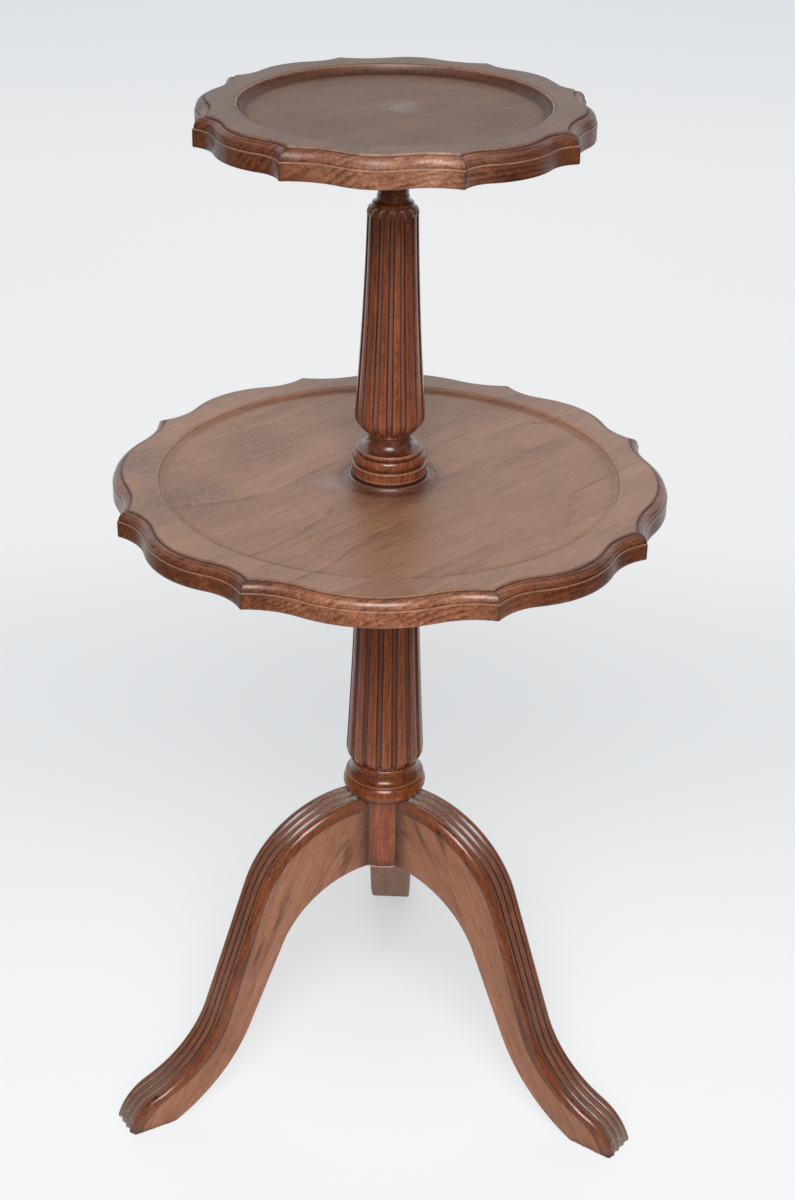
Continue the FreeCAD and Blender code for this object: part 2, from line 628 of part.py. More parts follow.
def build():
    parts = {}
    hub_bottom = LEG_CREST_HEIGHT - LEG_ROOT_HEIGHT
    base = base_turning(hub_bottom)
    lower_sizes = (
        base.z, LOWER_BULB_FOOT_RADIUS, LOWER_BULB_START_DEG, LOWER_BULB_RADIUS, LOWER_BULB_END_DEG,
        LOWER_SHAFT_RADIUS, LOWER_SHAFT_TURN_DEG,
    )
    shaft = shaft_outline(*lower_sizes)
    head = neck(
        Outline(shaft.x, shaft.z), LOWER_SHOULDER_HEIGHT, LOWER_NECK_RING_RADIUS, LOWER_NECK_RADIUS,
        LOWER_COLLAR_RADIUS,
    )
    lower_bearer_z = head.z
    lower_tray_z = lower_bearer_z + BEARER_THICKNESS
    lower_tray_top = lower_tray_z + LOWER_TRAY_THICKNESS

    foot = foot_turning(lower_tray_top)
    upper_sizes = (
        foot.z, UPPER_BULB_FOOT_RADIUS, UPPER_BULB_START_DEG, UPPER_BULB_RADIUS, UPPER_BULB_END_DEG,
        UPPER_SHAFT_RADIUS, UPPER_SHAFT_TURN_DEG,
    )
    upper = shaft_outline(*upper_sizes)
    upper_head = neck(
        Outline(upper.x, upper.z), UPPER_SHOULDER_HEIGHT, UPPER_NECK_RING_RADIUS, UPPER_NECK_RADIUS,
        UPPER_COLLAR_RADIUS,
    )
    upper_bearer_z = upper_head.z
    upper_tray_z = upper_bearer_z + BEARER_THICKNESS
    upper_tray_top = upper_tray_z + UPPER_TRAY_THICKNESS

    # Trays and what holds them
    lower_plain, lower_screws = bearer_screws(LOWER_SCREW_CIRCLE, lower_bearer_z, LOWER_TRAY_TURN_DEG)
    upper_plain, upper_screws = bearer_screws(UPPER_SCREW_CIRCLE, upper_bearer_z, UPPER_TRAY_TURN_DEG)

    def lower_crust(inset):
        arcs = ((LOWER_LONG_CROWN, LOWER_LONG_COVE), (LOWER_SHORT_CROWN, LOWER_SHORT_COVE))
        return pie_crust(LOWER_CORNER_REACH, LOWER_CROWN_SETBACK, arcs, LOWER_TRAY_TURN_DEG, inset)

    def upper_crust(inset):
        arcs = ((UPPER_LONG_CROWN, UPPER_LONG_COVE), (UPPER_SHORT_CROWN, UPPER_SHORT_COVE))
        return pie_crust(UPPER_CORNER_REACH, UPPER_CROWN_SETBACK, arcs, UPPER_TRAY_TURN_DEG, inset)

    lower_tray = tray_blank(lower_tray_z, LOWER_TRAY_THICKNESS, LOWER_EDGE_DROP, lower_crust)
    lower_dish = dish_cutter(
        lower_tray_top, LOWER_CORNER_REACH - LOWER_BORDER, LOWER_DISH_DEPTH, LOWER_DISH_COVE, BOSS_RADIUS
    )
    bore_radius = SPIGOT_RADIUS + GLUE_GAP
    spigot_hole = Part.makeCylinder(bore_radius, LOWER_TRAY_THICKNESS, Vector(0, 0, lower_tray_z))
    parts["lower_tray"] = single(lower_tray.cut([lower_dish, spigot_hole] + lower_plain))
    upper_tray = tray_blank(upper_tray_z, UPPER_TRAY_THICKNESS, UPPER_EDGE_DROP, upper_crust)
    upper_dish = dish_cutter(
        upper_tray_top, UPPER_CORNER_REACH - UPPER_BORDER, UPPER_DISH_DEPTH, UPPER_DISH_COVE
    )
    parts["upper_tray"] = single(upper_tray.cut([upper_dish] + upper_plain))
    parts["lower_bearer_block"] = bearer(
        LOWER_BEARER_RADIUS, LOWER_TENON_RADIUS + GLUE_GAP, lower_bearer_z, lower_plain
    )
    parts["upper_bearer_block"] = bearer(
        UPPER_BEARER_RADIUS, UPPER_TENON_RADIUS + GLUE_GAP, upper_bearer_z, upper_plain
    )
    parts["lower_bearer_screws"] = Part.makeCompound(lower_screws)
    parts["upper_bearer_screws"] = Part.makeCompound(upper_screws)

    # Upper column, with its wedged tenon and the spigot through the lower tray
    tenon = Part.makeCylinder(UPPER_TENON_RADIUS, BEARER_THICKNESS, Vector(0, 0, upper_bearer_z))
    spigot_length = LOWER_TRAY_THICKNESS + SPIGOT_INTO_COLUMN
    spigot = Part.makeCylinder(SPIGOT_RADIUS, spigot_length, Vector(0, 0, lower_tray_top - spigot_length))
    tip_z = upper_tray_z - WEDGE_DEPTH
    wedge_corners = [
        Vector(-WEDGE_TOP / 2, 0, upper_tray_z), Vector(WEDGE_TOP / 2, 0, upper_tray_z),
        Vector(WEDGE_TIP / 2, 0, tip_z), Vector(-WEDGE_TIP / 2, 0, tip_z),
    ]
    wedge_side = Part.Face(Part.makePolygon(wedge_corners + wedge_corners[:1]))
    wedge_side.translate(Vector(0, -UPPER_TENON_RADIUS, 0))
    wedge_prism = wedge_side.extrude(Vector(0, 2 * UPPER_TENON_RADIUS, 0))
    parts["upper_tenon_wedge"] = single(wedge_prism.common(tenon))
    upper_path = flute_path(*upper_sizes, UPPER_FLUTE_START_DEG)
    upper_fluted = fluted(upper, upper_path, UPPER_FLUTE_RADIUS, UPPER_FLUTE_TURN_DEG)
    parts["upper_column"] = joined(
        [turned(foot), upper_fluted, turned(upper_head), tenon.cut(wedge_prism), spigot]
    )

    # Lower column with the hub
    lower_tenon = Part.makeCylinder(LOWER_TENON_RADIUS, BEARER_THICKNESS, Vector(0, 0, lower_bearer_z))
    socket_depth = SPIGOT_INTO_COLUMN + SOCKET_END_GAP
    socket = Part.makeCylinder(bore_radius, socket_depth, Vector(0, 0, lower_tray_z - socket_depth))
    slots = [
        turn_to(dovetail(hub_bottom, LEG_CREST_HEIGHT - DOVETAIL_STOP, GLUE_GAP), direction)
        for direction in LEG_DIRECTIONS.values()
    ]
    lower_path = flute_path(*lower_sizes, LOWER_FLUTE_START_DEG)
    lower_fluted = fluted(shaft, lower_path, LOWER_FLUTE_RADIUS, LOWER_FLUTE_TURN_DEG)
    pillar = joined([turned(base), lower_fluted, turned(head), lower_tenon])

    # Tripod
    arm, arm_screw_point, arm_screw_axis = plate_arm(hub_bottom)
    hub_screw_point = Vector(PLATE_HUB_SCREW_RADIUS, 0, hub_bottom - PLATE_THICKNESS)
    screw_places = []
    arms = []
    for direction in LEG_DIRECTIONS.values():
        spin = Rotation(Vector(0, 0, 1), direction - 90)
        away = Rotation(Vector(0, 0, 1), direction + 90)
        arms.append(turn_to(arm, direction))
        screw_places.append((spin.multVec(arm_screw_point), spin.multVec(arm_screw_axis)))
        screw_places.append((away.multVec(hub_screw_point), Vector(0, 0, 1)))
    plate_plain, plate_screws = set_screws(PLATE_SCREW_LENGTH, screw_places)
    disc = Part.makeCylinder(
        PLATE_DISC_RADIUS, PLATE_THICKNESS, Vector(0, 0, hub_bottom - PLATE_THICKNESS)
    )
    parts["tripod_plate"] = single(joined([disc] + arms).cut(plate_plain))
    parts["tripod_plate_screws"] = Part.makeCompound(plate_screws)
    parts["lower_column"] = single(pillar.cut([socket] + slots + plate_plain))
    leg = leg_blank()
    pad = foot_pad()
    for name, direction in LEG_DIRECTIONS.items():
        parts[name + "_leg"] = single(turn_to(leg, direction).cut(plate_plain))
        parts[name + "_foot_pad"] = turn_to(pad, direction)
    heights = {"lower_tray_top": lower_tray_top, "upper_tray_top": upper_tray_top}
    return parts, heights


def main():
    os.makedirs("parts", exist_ok=True)
    parts, heights = build()
    for name, shape in parts.items():
        if not shape.isValid():
            print("not valid:", name)
        shape.exportStep(os.path.join("parts", name + ".step"))
        box = shape.optimalBoundingBox(False)
        sizes = (name, len(shape.Solids), shape.Volume, box.ZMin, box.ZMax)
        print("%-24s solids %d volume %.0f z %.2f..%.2f" % sizes)
    for name, height in heights.items():
        print("%s %.2f" % (name, height))


main()
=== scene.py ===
import random
from math import acos, asin, atan2, copysign, cos, degrees, exp, hypot, pi, radians, sin, sqrt, tan

import bmesh
import bpy
from mathutils import Matrix, Vector


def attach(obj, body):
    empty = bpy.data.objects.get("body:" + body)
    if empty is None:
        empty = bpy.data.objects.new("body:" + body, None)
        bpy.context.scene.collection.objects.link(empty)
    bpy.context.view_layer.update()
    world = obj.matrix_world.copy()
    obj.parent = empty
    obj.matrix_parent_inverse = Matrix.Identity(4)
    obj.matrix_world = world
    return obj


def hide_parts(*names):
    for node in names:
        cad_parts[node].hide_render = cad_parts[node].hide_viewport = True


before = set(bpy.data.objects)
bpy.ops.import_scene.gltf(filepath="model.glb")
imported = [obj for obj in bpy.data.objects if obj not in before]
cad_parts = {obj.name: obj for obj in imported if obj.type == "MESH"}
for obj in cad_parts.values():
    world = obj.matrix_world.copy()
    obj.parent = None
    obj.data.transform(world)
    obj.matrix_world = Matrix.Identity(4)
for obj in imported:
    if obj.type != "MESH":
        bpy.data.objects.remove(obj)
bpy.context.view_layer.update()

# Pieces are shaped in millimetres, in the frame's own axes, and brought to metres
# when they are finished. Directions in plan are degrees from the front.
MM = 0.001

random.seed(4898)


# ---- Shader arithmetic ----


def operator(operation, swapped=False):
    def apply(self, other):
        first, second = (other, self) if swapped else (self, other)
        return self.finish.math(operation, first, second)
    return apply


class Value:
    """A shader socket that Python arithmetic works on."""

    def __init__(self, finish, socket):
        self.finish, self.socket = finish, socket

    __add__, __radd__ = operator("ADD"), operator("ADD", True)
    __sub__, __rsub__ = operator("SUBTRACT"), operator("SUBTRACT", True)
    __mul__, __rmul__ = operator("MULTIPLY"), operator("MULTIPLY", True)
    __truediv__, __rtruediv__ = operator("DIVIDE"), operator("DIVIDE", True)


class Finish:
    """One material, built node by node."""

    def __init__(self, name):
        self.material = bpy.data.materials.new(name)
        self.material.use_nodes = True
        self.tree = self.material.node_tree
        self.tree.nodes.clear()
        self.place = self.node("TexCoord", output="Object")

    def node(self, kind, settings=None, inputs=None, output=0):
        made = self.tree.nodes.new("ShaderNode" + kind)
        for key, value in (settings or {}).items():
            if key == "stops":
                ramp = made.color_ramp.elements
                while len(ramp) < len(value):
                    ramp.new(1.0)
                for element, (position, colour) in zip(ramp, value):
                    element.position, element.color = position, (*colour, 1.0)
            else:
                setattr(made, key, value)
        for key, value in (inputs or {}).items():
            if isinstance(value, Value):
                self.tree.links.new(value.socket, made.inputs[key])
            elif isinstance(value, tuple) and made.inputs[key].type == "RGBA":
                made.inputs[key].default_value = (*value, 1.0)
            else:
                made.inputs[key].default_value = value
        return Value(self, made.outputs[output] if made.outputs else None)

    def math(self, operation, first, second=0.0):
        return self.node("Math", {"operation": operation}, {0: first, 1: second})

    def clamp(self, value):
        return self.node("Clamp", None, {"Value": value})

    def vector(self, operation, first, second=(0, 0, 0)):
        return self.node("VectorMath", {"operation": operation}, {0: first, 1: second})

    def distance(self, first, second):
        settings = {"operation": "DISTANCE"}
        return self.node("VectorMath", settings, {0: first, 1: second}, "Value")

    def scaled(self, vector, factor):
        settings = {"operation": "SCALE"}
        return self.node("VectorMath", settings, {0: vector, 3: factor})

    def part(self, vector, axis):
        return self.node("SeparateXYZ", None, {0: vector}, axis)

    def ray(self, kind):
        return self.node("LightPath", output=kind)

    def mix(self, first, second, factor, blend="MIX"):
        settings = {"data_type": "RGBA", "blend_type": blend}
        return self.node("Mix", settings, {0: factor, 6: first, 7: second}, 2)

    def between(self, value, low, high, to_low=0.0, to_high=1.0, smooth=True):
        """value mapped from low..high to to_low..to_high, held at both ends."""
        settings = {"clamp": True}
        if smooth:
            settings["interpolation_type"] = "SMOOTHSTEP"
        inputs = {0: value, 1: low, 2: high, 3: to_low, 4: to_high}
        return self.node("MapRange", settings, inputs)

    def ramp(self, value, stops):
        return self.node("ValToRGB", {"stops": stops}, {0: value})

    def attribute(self, name):
        return self.node("Attribute", {"attribute_name": name}, output="Fac")

    def board(self, turn, sizes=(1.0, 1.0, 1.0), start=(0.0, 0.0, 0.0)):
        """Coordinates along a board's own axes, in feature sizes. turn is its Euler rotation."""
        inputs = {"Vector": self.place, "Location": start, "Rotation": turn, "Scale": sizes}
        return self.node("Mapping", {"vector_type": "TEXTURE"}, inputs)

    def noise(self, vector, detail, roughness=0.5, output=0):
        inputs = {"Vector": vector, "Scale": 1.0, "Detail": detail, "Roughness": roughness}
        return self.node("TexNoise", None, inputs, output)

    def bump(self, height, distance, strength):
        inputs = {"Height": height, "Distance": distance, "Strength": strength}
        return self.node("Bump", None, inputs)

    def surface(self, **inputs):
        """The Principled surface, and the output. Underscores in the names stand for spaces."""
        named = {key.replace("_", " "): value for key, value in inputs.items()}
        shader = self.node("BsdfPrincipled", None, named)
        self.node("OutputMaterial", None, {"Surface": shader})
        return self.material


# ---- Finishes ----


# The colour of worn edges, which also paints highlights on arrises, rims and flute ends
WORN_EDGE_AND_HIGHLIGHT = (0.46, 0.29, 0.20)
# The colour of old wax, which also paints shade in coves, corners, quirks and flute edges
WAX_AND_SHADE = (0.020, 0.008, 0.006)


def mahogany(name, turn, start, polished, bare=None, gloss=0.20, coat=0.25, streaks=0.0,
             growth=0.3, stains_and_shadow=(), scratches=0.0, edge_lines=0.0, dust_and_sheen_tone=(0.34, 0.30, 0.265),
             dust_and_sheen_cover=0.62, clouded=0.25, mottled=0.0, rim=None, index=1.5, dullness=0.20,
             sunned_and_sheen=None, waxy=0.20):
    """Polished mahogany with its grain along the X axis of the board's rotation.

    polished and bare are each a dark, a middle and a light colour: the wood where the
    piece's polish attribute is 1, and where it is 0. The soil attribute is old
    wax in quirks and grooves and painted shade in coves, corners and flute edges; haze is
    grime in corners and flutes, with painted sheen in the flutes; wear is
    worn edges, with painted highlights on arrises, rims and flute ends.

    gloss is the polish's roughness, and dullness what bare wood adds to it; waxy is what
    soil adds. growth, streaks, edge_lines, mottled and scratches are the strengths
    of their marks. rim is (radius, gain) of a tray's rim, sunned_and_sheen is (middle,
    radius, gain) of a place bleached by the sun and made paler with painted sheen, and each
    entry of stains_and_shadow, a stain or a painted shadow, is (middle, radius, colour,
    strength). dust_and_sheen_tone and dust_and_sheen_cover are the colour of the haze and
    how much it covers.
    """
    f = Finish(name)
    along = f.board(turn, start=start)
    drift = f.noise(f.board(turn, (0.26, 0.07, 0.07), start), 1.0, output=1)
    bent = f.vector("ADD", along, f.scaled(f.vector("SUBTRACT", drift, (0.5, 0.5, 0.5)), 0.020))

    def layer(sizes, detail, roughness=0.55):
        return f.noise(f.vector("DIVIDE", bent, sizes), detail, roughness)

    broad = layer((0.40, 0.050, 0.050), 2.0)
    ribbon = layer((0.16, 0.0075, 0.0075), 3.0, 0.6)
    fibre = layer((0.034, 0.0016, 0.0016), 4.0, 0.7)
    pore = layer((0.0080, 0.00075, 0.00075), 2.0, 0.5)
    tone = broad * 0.24 + ribbon * 0.26 + fibre * 0.50
    polish, soil, dust = f.attribute("polish"), f.attribute("soil"), f.attribute("dust")

    def graded(tones):
        return f.ramp(tone, [(0.36, tones[0]), (0.50, tones[1]), (0.66, tones[2])])

    colour = graded(polished)
    if bare:
        colour = f.mix(graded(bare), colour, polish)
    # Growth lines: each year's wood darkens slowly and ends in a thin line
    across = f.part(bent, "Y")
    swirl = layer((0.60, 0.17, 0.17), 1.5)
    year = f.math("FRACT", across * 14.0 + swirl * 9.0 + ribbon * 0.35 + fibre * 0.12)
    line = f.between(year, 0.925, 0.97) * f.between(year, 0.98, 1.0, 1.0, 0.0)
    line = line * f.between(layer((0.26, 0.07, 0.07), 1.0), 0.46, 0.60)
    line = line * f.between(fibre, 0.30, 0.55, 0.5, 1.0)
    late = f.between(year, 0.25, 0.97) * f.between(year, 0.985, 1.0, 1.0, 0.0)
    colour = f.mix(colour, (0.34, 0.26, 0.25), f.clamp(line + late * 0.22) * growth, "MULTIPLY")
    if edge_lines:
        # The same lines, close together, where a moulding cuts through them
        deep = f.part(bent, "Z")
        tight = f.math("FRACT", across * 130.0 + deep * 170.0 + swirl * 34.0 + fibre)
        fine = f.between(tight, 0.35, 0.85) * f.between(tight, 0.88, 1.0, 1.0, 0.0) * polish
        fine = fine * f.between(layer((0.05, 0.012, 0.012), 2.0), 0.40, 0.62, 0.15, 1.0)
        colour = f.mix(colour, (0.34, 0.24, 0.20), fine * edge_lines, "MULTIPLY")
    # Pores
    fleck = f.between(pore, 0.57, 0.69) * f.between(fibre, 0.38, 0.60, 0.25, 1.0)
    colour = f.mix(colour, (0.26, 0.20, 0.19), fleck * 0.70, "MULTIPLY")
    if streaks:
        # Dark mineral smears along the grain
        smear = f.between(layer((0.12, 0.0085, 0.0085), 3.0, 0.6), 0.56, 0.70)
        smear = smear * f.between(layer((0.14, 0.05, 0.05), 1.0), 0.50, 0.62)
        colour = f.mix(colour, (0.22, 0.20, 0.24), smear * streaks, "MULTIPLY")

    # The polish: clouded, mottled, bleached by the sun and made paler with painted sheen at the
    # front, and worn on the rim
    grime = f.noise(f.scaled(f.place, 260.0), 4.0, 0.7)
    cloud = f.noise(f.scaled(f.place, 22.0), 4.0, 0.6)
    dull = 1.0 - polish
    veil = f.between(cloud, 0.42, 0.72, 0.0, clouded)
    colour = f.mix(colour, (0.62, 0.58, 0.57), veil, "MULTIPLY")
    if mottled:
        patch = f.between(grime, 0.42, 0.68) * f.between(cloud, 0.30, 0.60, 0.35, 1.0) * polish
        colour = f.mix(colour, (0.42, 0.36, 0.35), patch * mottled, "MULTIPLY")
    # The front lobes, bleached by the sun and made paler and greyer with painted sheen
    if sunned_and_sheen:
        place, radius, gain = sunned_and_sheen
        faded_and_sheen = f.between(f.distance(f.place, place), radius * 0.35, radius, 1.0, 0.0)
        faded_and_sheen = faded_and_sheen * (polish * 0.88 + 0.12)
        colour = f.mix(colour, gain, faded_and_sheen, "MULTIPLY")
    roughness = gloss + cloud * 0.10 + fibre * 0.06 + dull * dullness
    if rim:
        radius, gain = rim
        reach = f.distance(f.vector("MULTIPLY", f.place, (1.0, 1.0, 0.0)), (0.0, 0.0, 0.0))
        brim = f.between(reach, radius, radius + 0.002) * dull
        colour = f.mix(colour, (gain, gain, gain), brim, "MULTIPLY")
        roughness = roughness - brim * 0.06
    # Stains, and the painted shadows among them
    for place, radius, tint, strength in stains_and_shadow:
        reach = f.distance(f.place, place) + (cloud - 0.5) * (radius * 1.6)
        spot = f.between(reach, radius * 0.2, radius, 1.0, 0.0)
        spot = spot * f.between(grime, 0.36, 0.60, 0.25, 1.0)
        colour = f.mix(colour, tint, spot * strength)
    if scratches:
        for k, angle in enumerate((0.5, 1.9, 2.7)):
            lane = f.board((0.0, 0.0, angle), (0.10, 0.0075, 0.05), (0.03 * k, 0.0, 0.0))
            ridge = f.math("ABSOLUTE", f.noise(lane, 0.0) - 0.5)
            mark = f.between(ridge, 0.0, 0.008, 1.0, 0.0) * f.between(cloud, 0.50, 0.60) * dull
            colour = f.mix(colour, (0.36, 0.29, 0.25), mark * scratches)
            roughness = roughness + mark * 0.10
        # Small pale specks
        inputs = {"Vector": f.place, "Scale": 46.0}
        cells = f.node("TexVoronoi", {"feature": "F1"}, inputs, "Distance")
        speck = f.between(cells, 0.020, 0.040, 1.0, 0.0) * f.between(cloud, 0.50, 0.56) * dull
        colour = f.mix(colour, (0.60, 0.57, 0.54), speck * 0.8)
    # Worn edges with painted highlights, old wax with painted shade, and grime with painted sheen
    rubbed_and_highlight = f.attribute("wear") * f.between(grime, 0.30, 0.60, 0.30, 1.0)
    colour = f.mix(colour, WORN_EDGE_AND_HIGHLIGHT, f.clamp(rubbed_and_highlight * 0.55))
    soiled_and_shaded = f.clamp(soil * f.between(grime, 0.25, 0.65, 0.80, 1.10))
    colour = f.mix(colour, WAX_AND_SHADE, soiled_and_shaded * 0.88)
    dusty_and_sheen = f.clamp(dust * f.between(grime, 0.36, 0.62, 0.45, 1.15))
    colour = f.mix(colour, dust_and_sheen_tone, dusty_and_sheen * dust_and_sheen_cover)
    roughness = roughness + soiled_and_shaded * waxy + dusty_and_sheen * 0.35
    shine = f.clamp(polish * 0.85 + 0.15 - dusty_and_sheen * 0.8 - soiled_and_shaded * waxy * 1.5) * coat
    grain = ribbon * 0.30 + fibre * 0.60 - fleck * 0.5 + grime * 0.12
    height = grain * (1.0 - polish * 0.6) + cloud * 0.8
    return f.surface(
        Base_Color=colour, Roughness=roughness, Normal=f.bump(height, 0.00030, 0.5), IOR=index,
        Coat_Weight=shine, Coat_Roughness=0.10,
    )


def bare_wood(name, turn, tone):
    """Unpolished secondary timber, for the blocks under the trays and the wedge."""
    f = Finish(name)
    lines = f.noise(f.board(turn, (0.09, 0.0022, 0.0022)), 4.0, 0.65)
    patches = f.noise(f.scaled(f.place, 30.0), 3.0)
    colour = f.ramp(lines * 0.7 + patches * 0.3, [
        (0.25, tuple(0.45 * c for c in tone)), (0.55, tone), (0.85, tuple(1.5 * c for c in tone)),
    ])
    return f.surface(
        Base_Color=colour, Roughness=patches * 0.2 + 0.62, Normal=f.bump(lines, 0.0004, 0.7),
        IOR=1.45,
    )


def aged_metal(name, tone, rust, roughness):
    """Dulled iron or steel with specks of rust."""
    f = Finish(name)
    fine = f.noise(f.scaled(f.place, 900.0), 4.0, 0.65)
    patches = f.noise(f.scaled(f.place, 120.0), 4.0, 0.6)
    rusty = f.between(patches, 0.50, 0.66)
    steel = f.ramp(fine, [(0.2, tuple(0.6 * c for c in tone)), (0.8, tone)])
    colour = f.mix(steel, rust, rusty * 0.8)
    return f.surface(
        Base_Color=colour, Roughness=rusty * 0.35 + fine * 0.15 + roughness,
        Metallic=1.0 - rusty * 0.75, Normal=f.bump(fine + rusty, 0.00012, 0.6),
    )


def felt(name, tone):
    """Compressed dark felt, with fuzz and dust."""
    f = Finish(name)
    fuzz = f.noise(f.scaled(f.place, 1800.0), 3.0, 0.8)
    dust = f.noise(f.scaled(f.place, 160.0), 4.0, 0.7)
    wool = f.ramp(fuzz, [(0.2, tuple(0.4 * c for c in tone)), (0.8, tone)])
    colour = f.mix(wool, (0.30, 0.28, 0.25), f.between(dust, 0.55, 0.75) * 0.5)
    return f.surface(Base_Color=colour, Roughness=0.95, Normal=f.bump(fuzz, 0.0006, 0.9))


# ---- Shapes ----


def arc_points(start, end, swell, count):
    """count points after start, on a bowed line to end. swell bows it to the right of the way."""
    (x0, y0), (x1, y1) = start, end
    if not swell:
        steps = range(1, count + 1)
        return [(x0 + (x1 - x0) * k / count, y0 + (y1 - y0) * k / count) for k in steps]
    length = hypot(x1 - x0, y1 - y0)
    half_turn = 2 * atan2(2 * swell, length)
    radius = length / (2 * sin(half_turn))
    heading = atan2(y1 - y0, x1 - x0) - half_turn
    points = []
    for k in range(1, count + 1):
        turned = heading + 2 * half_turn * k / count
        points.append((
            x0 + radius * (sin(turned) - sin(heading)),
            y0 - radius * (cos(turned) - cos(heading)),
        ))
    return points


def arc_step(radius, heading, turn):
    """How far an arc goes, across and up. It turns left by turn degrees, or right if negative."""
    side = copysign(radius, turn)
    start, end = radians(heading), radians(heading + turn)
    return side * (sin(end) - sin(start)), side * (cos(start) - cos(end))


class Profile:
    """A turned profile from the bottom up: radius, height, soil and wear at each point."""

    def __init__(self, radius, z):
        self.x, self.z = radius, z
        self.points = []
        self.add(radius, z)

    def add(self, x, z, soil=0.0, wear=0.0):
        self.x, self.z = x, z
        self.points.append((x, z, soil, wear))

    def to(self, x, rise=0.0, swell=0.0, count=1, soil=0.0, wear=0.0, dark=0.0):
        """A straight or bowed run. dark is the soil all along it: painted shade in the coves and
        scotias, a darker tone on the bands, tori and grooves. soil and wear are at its end.
        """
        for px, pz in arc_points((self.x, self.z), (x, self.z + rise), swell, count):
            self.add(px, pz, dark)
        self.points[-1] = (self.x, self.z, max(soil, dark), wear)

    def arc(self, heading, radius, turn, count):
        x0, z0 = self.x, self.z
        for k in range(1, count + 1):
            across, up = arc_step(radius, heading, turn * k / count)
            self.add(x0 + across, z0 + up)


MERGED = 1e-4  # verts nearer than this are one


def new_shape():
    bm = bmesh.new()
    for name in ("soil", "wear", "polish", "dust", "row"):
        bm.verts.layers.float.new(name)
    return bm


def tag(bm, vert, **values):
    for name, value in values.items():
        vert[bm.verts.layers.float[name]] = value


def close_holes(bm):
    bmesh.ops.holes_fill(bm, edges=[e for e in bm.edges if e.is_boundary])


def lathed(points, steps):
    """A polished piece turned about the Z axis."""
    bm = new_shape()
    verts = []
    for row, (x, z, soil, wear) in enumerate(points):
        vert = bm.verts.new((x, 0.0, z))
        tag(bm, vert, soil=soil, wear=wear, polish=1.0, row=row)
        verts.append(vert)
    edges = [bm.edges.new(pair) for pair in zip(verts, verts[1:])]
    bmesh.ops.spin(
        bm, geom=verts + edges, cent=(0, 0, 0), axis=(0, 0, 1), angle=2 * pi, steps=steps,
        use_merge=True,
    )
    bmesh.ops.remove_doubles(bm, verts=bm.verts, dist=MERGED)
    close_holes(bm)
    return bm


def verts_of(geometry):
    return [item for item in geometry if isinstance(item, bmesh.types.BMVert)]


def next_ring(bm, loop, places):
    """Extrudes a closed loop of edges and puts the new loop's corners at the places.

    loop is the list of its verts in order. Each place is (position, attributes).
    """
    edges = [bm.edges.get((a, b)) for a, b in zip(loop, loop[1:] + loop[:1])]
    fresh = set(verts_of(bmesh.ops.extrude_edge_only(bm, edges=edges)["geom"]))
    following = []
    for vert in loop:
        ahead = [e.other_vert(vert) for e in vert.link_edges]
        following.append(next(v for v in ahead if v in fresh))
    return placed(bm, following, places)


def placed(bm, ring, places):
    for vert, (position, attributes) in zip(ring, places):
        vert.co = position
        tag(bm, vert, **attributes)
    return ring


def first_ring(bm, places):
    """A ring of edges with its corners at the places."""
    made = bmesh.ops.create_circle(bm, cap_ends=False, segments=len(places), radius=1.0)["verts"]
    ring = sorted(made, key=lambda v: atan2(v.co.y, v.co.x) % (2 * pi))
    return placed(bm, ring, places)


def face_front(bm, direction):
    """Turns a shape that was made along +X to a direction in plan."""
    turn = Matrix.Rotation(radians(direction - 90), 3, "Z")
    bmesh.ops.rotate(bm, cent=(0, 0, 0), matrix=turn, verts=bm.verts)


def finish_piece(bm, name, material, sharp=40.0):
    """Makes the object: merged, facing outwards, in metres, smooth but for its sharp edges.

    It stands for the solid of the same name. sharp is in degrees.
    """
    bmesh.ops.remove_doubles(bm, verts=bm.verts, dist=MERGED)
    bmesh.ops.recalc_face_normals(bm, faces=bm.faces)
    bmesh.ops.scale(bm, vec=(MM, MM, MM), verts=bm.verts)
    for face in bm.faces:
        face.smooth = True
    limit = radians(sharp)
    for edge in bm.edges:
        edge.smooth = len(edge.link_faces) == 2 and edge.calc_face_angle(0.0) < limit
    mesh = bpy.data.meshes.new(name)
    bm.to_mesh(mesh)
    bm.free()
    mesh.materials.append(material)
    piece = bpy.data.objects.new(name, mesh)
    bpy.context.scene.collection.objects.link(piece)
    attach(piece, "root")
    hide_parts(name)


# ---- Trays ----

LOBE_SPANS = (49.5, 40.5)  # degrees, of a long and a short lobe in turn
COVE_STEPS = (0.012, 0.05, 0.12, 0.24, 0.38, 0.54, 0.70, 0.86)
CROWN_STEPS = [k / 16 for k in range(1, 16)]
MIDDLE = 0.4  # radius of the face that closes a tray's middle
HAIR = 0.01  # how far inside the solid a tray's top and outline stay
EDGE_WIDTH = 8.5
ARRIS_STEP, OVOLO_TOP = 0.95, 6.7  # the ovolo's foot and top, in from the outline


def polar(radius, direction):
    a = radians(direction)
    return Vector((radius * sin(a), -radius * cos(a)))


def circle_meet(centre_a, radius_a, centre_b, radius_b, near):
    between = centre_b - centre_a
    along = (radius_a ** 2 - radius_b ** 2 + between.length_squared) / (2 * between.length)
    aside = sqrt(radius_a ** 2 - along ** 2)
    unit = between.normalized()
    normal = Vector((-unit.y, unit.x))
    meets = [centre_a + unit * along + normal * side for side in (aside, -aside)]
    return min(meets, key=lambda p: (p - near).length)


def about(centre, start, end, fractions):
    """Points on the short arc about a centre, at fractions of the way from start to end."""
    a, b = start - centre, end - centre
    turn = atan2(a.x * b.y - a.y * b.x, a.dot(b))
    return [centre + Matrix.Rotation(turn * t, 2) @ a for t in fractions]


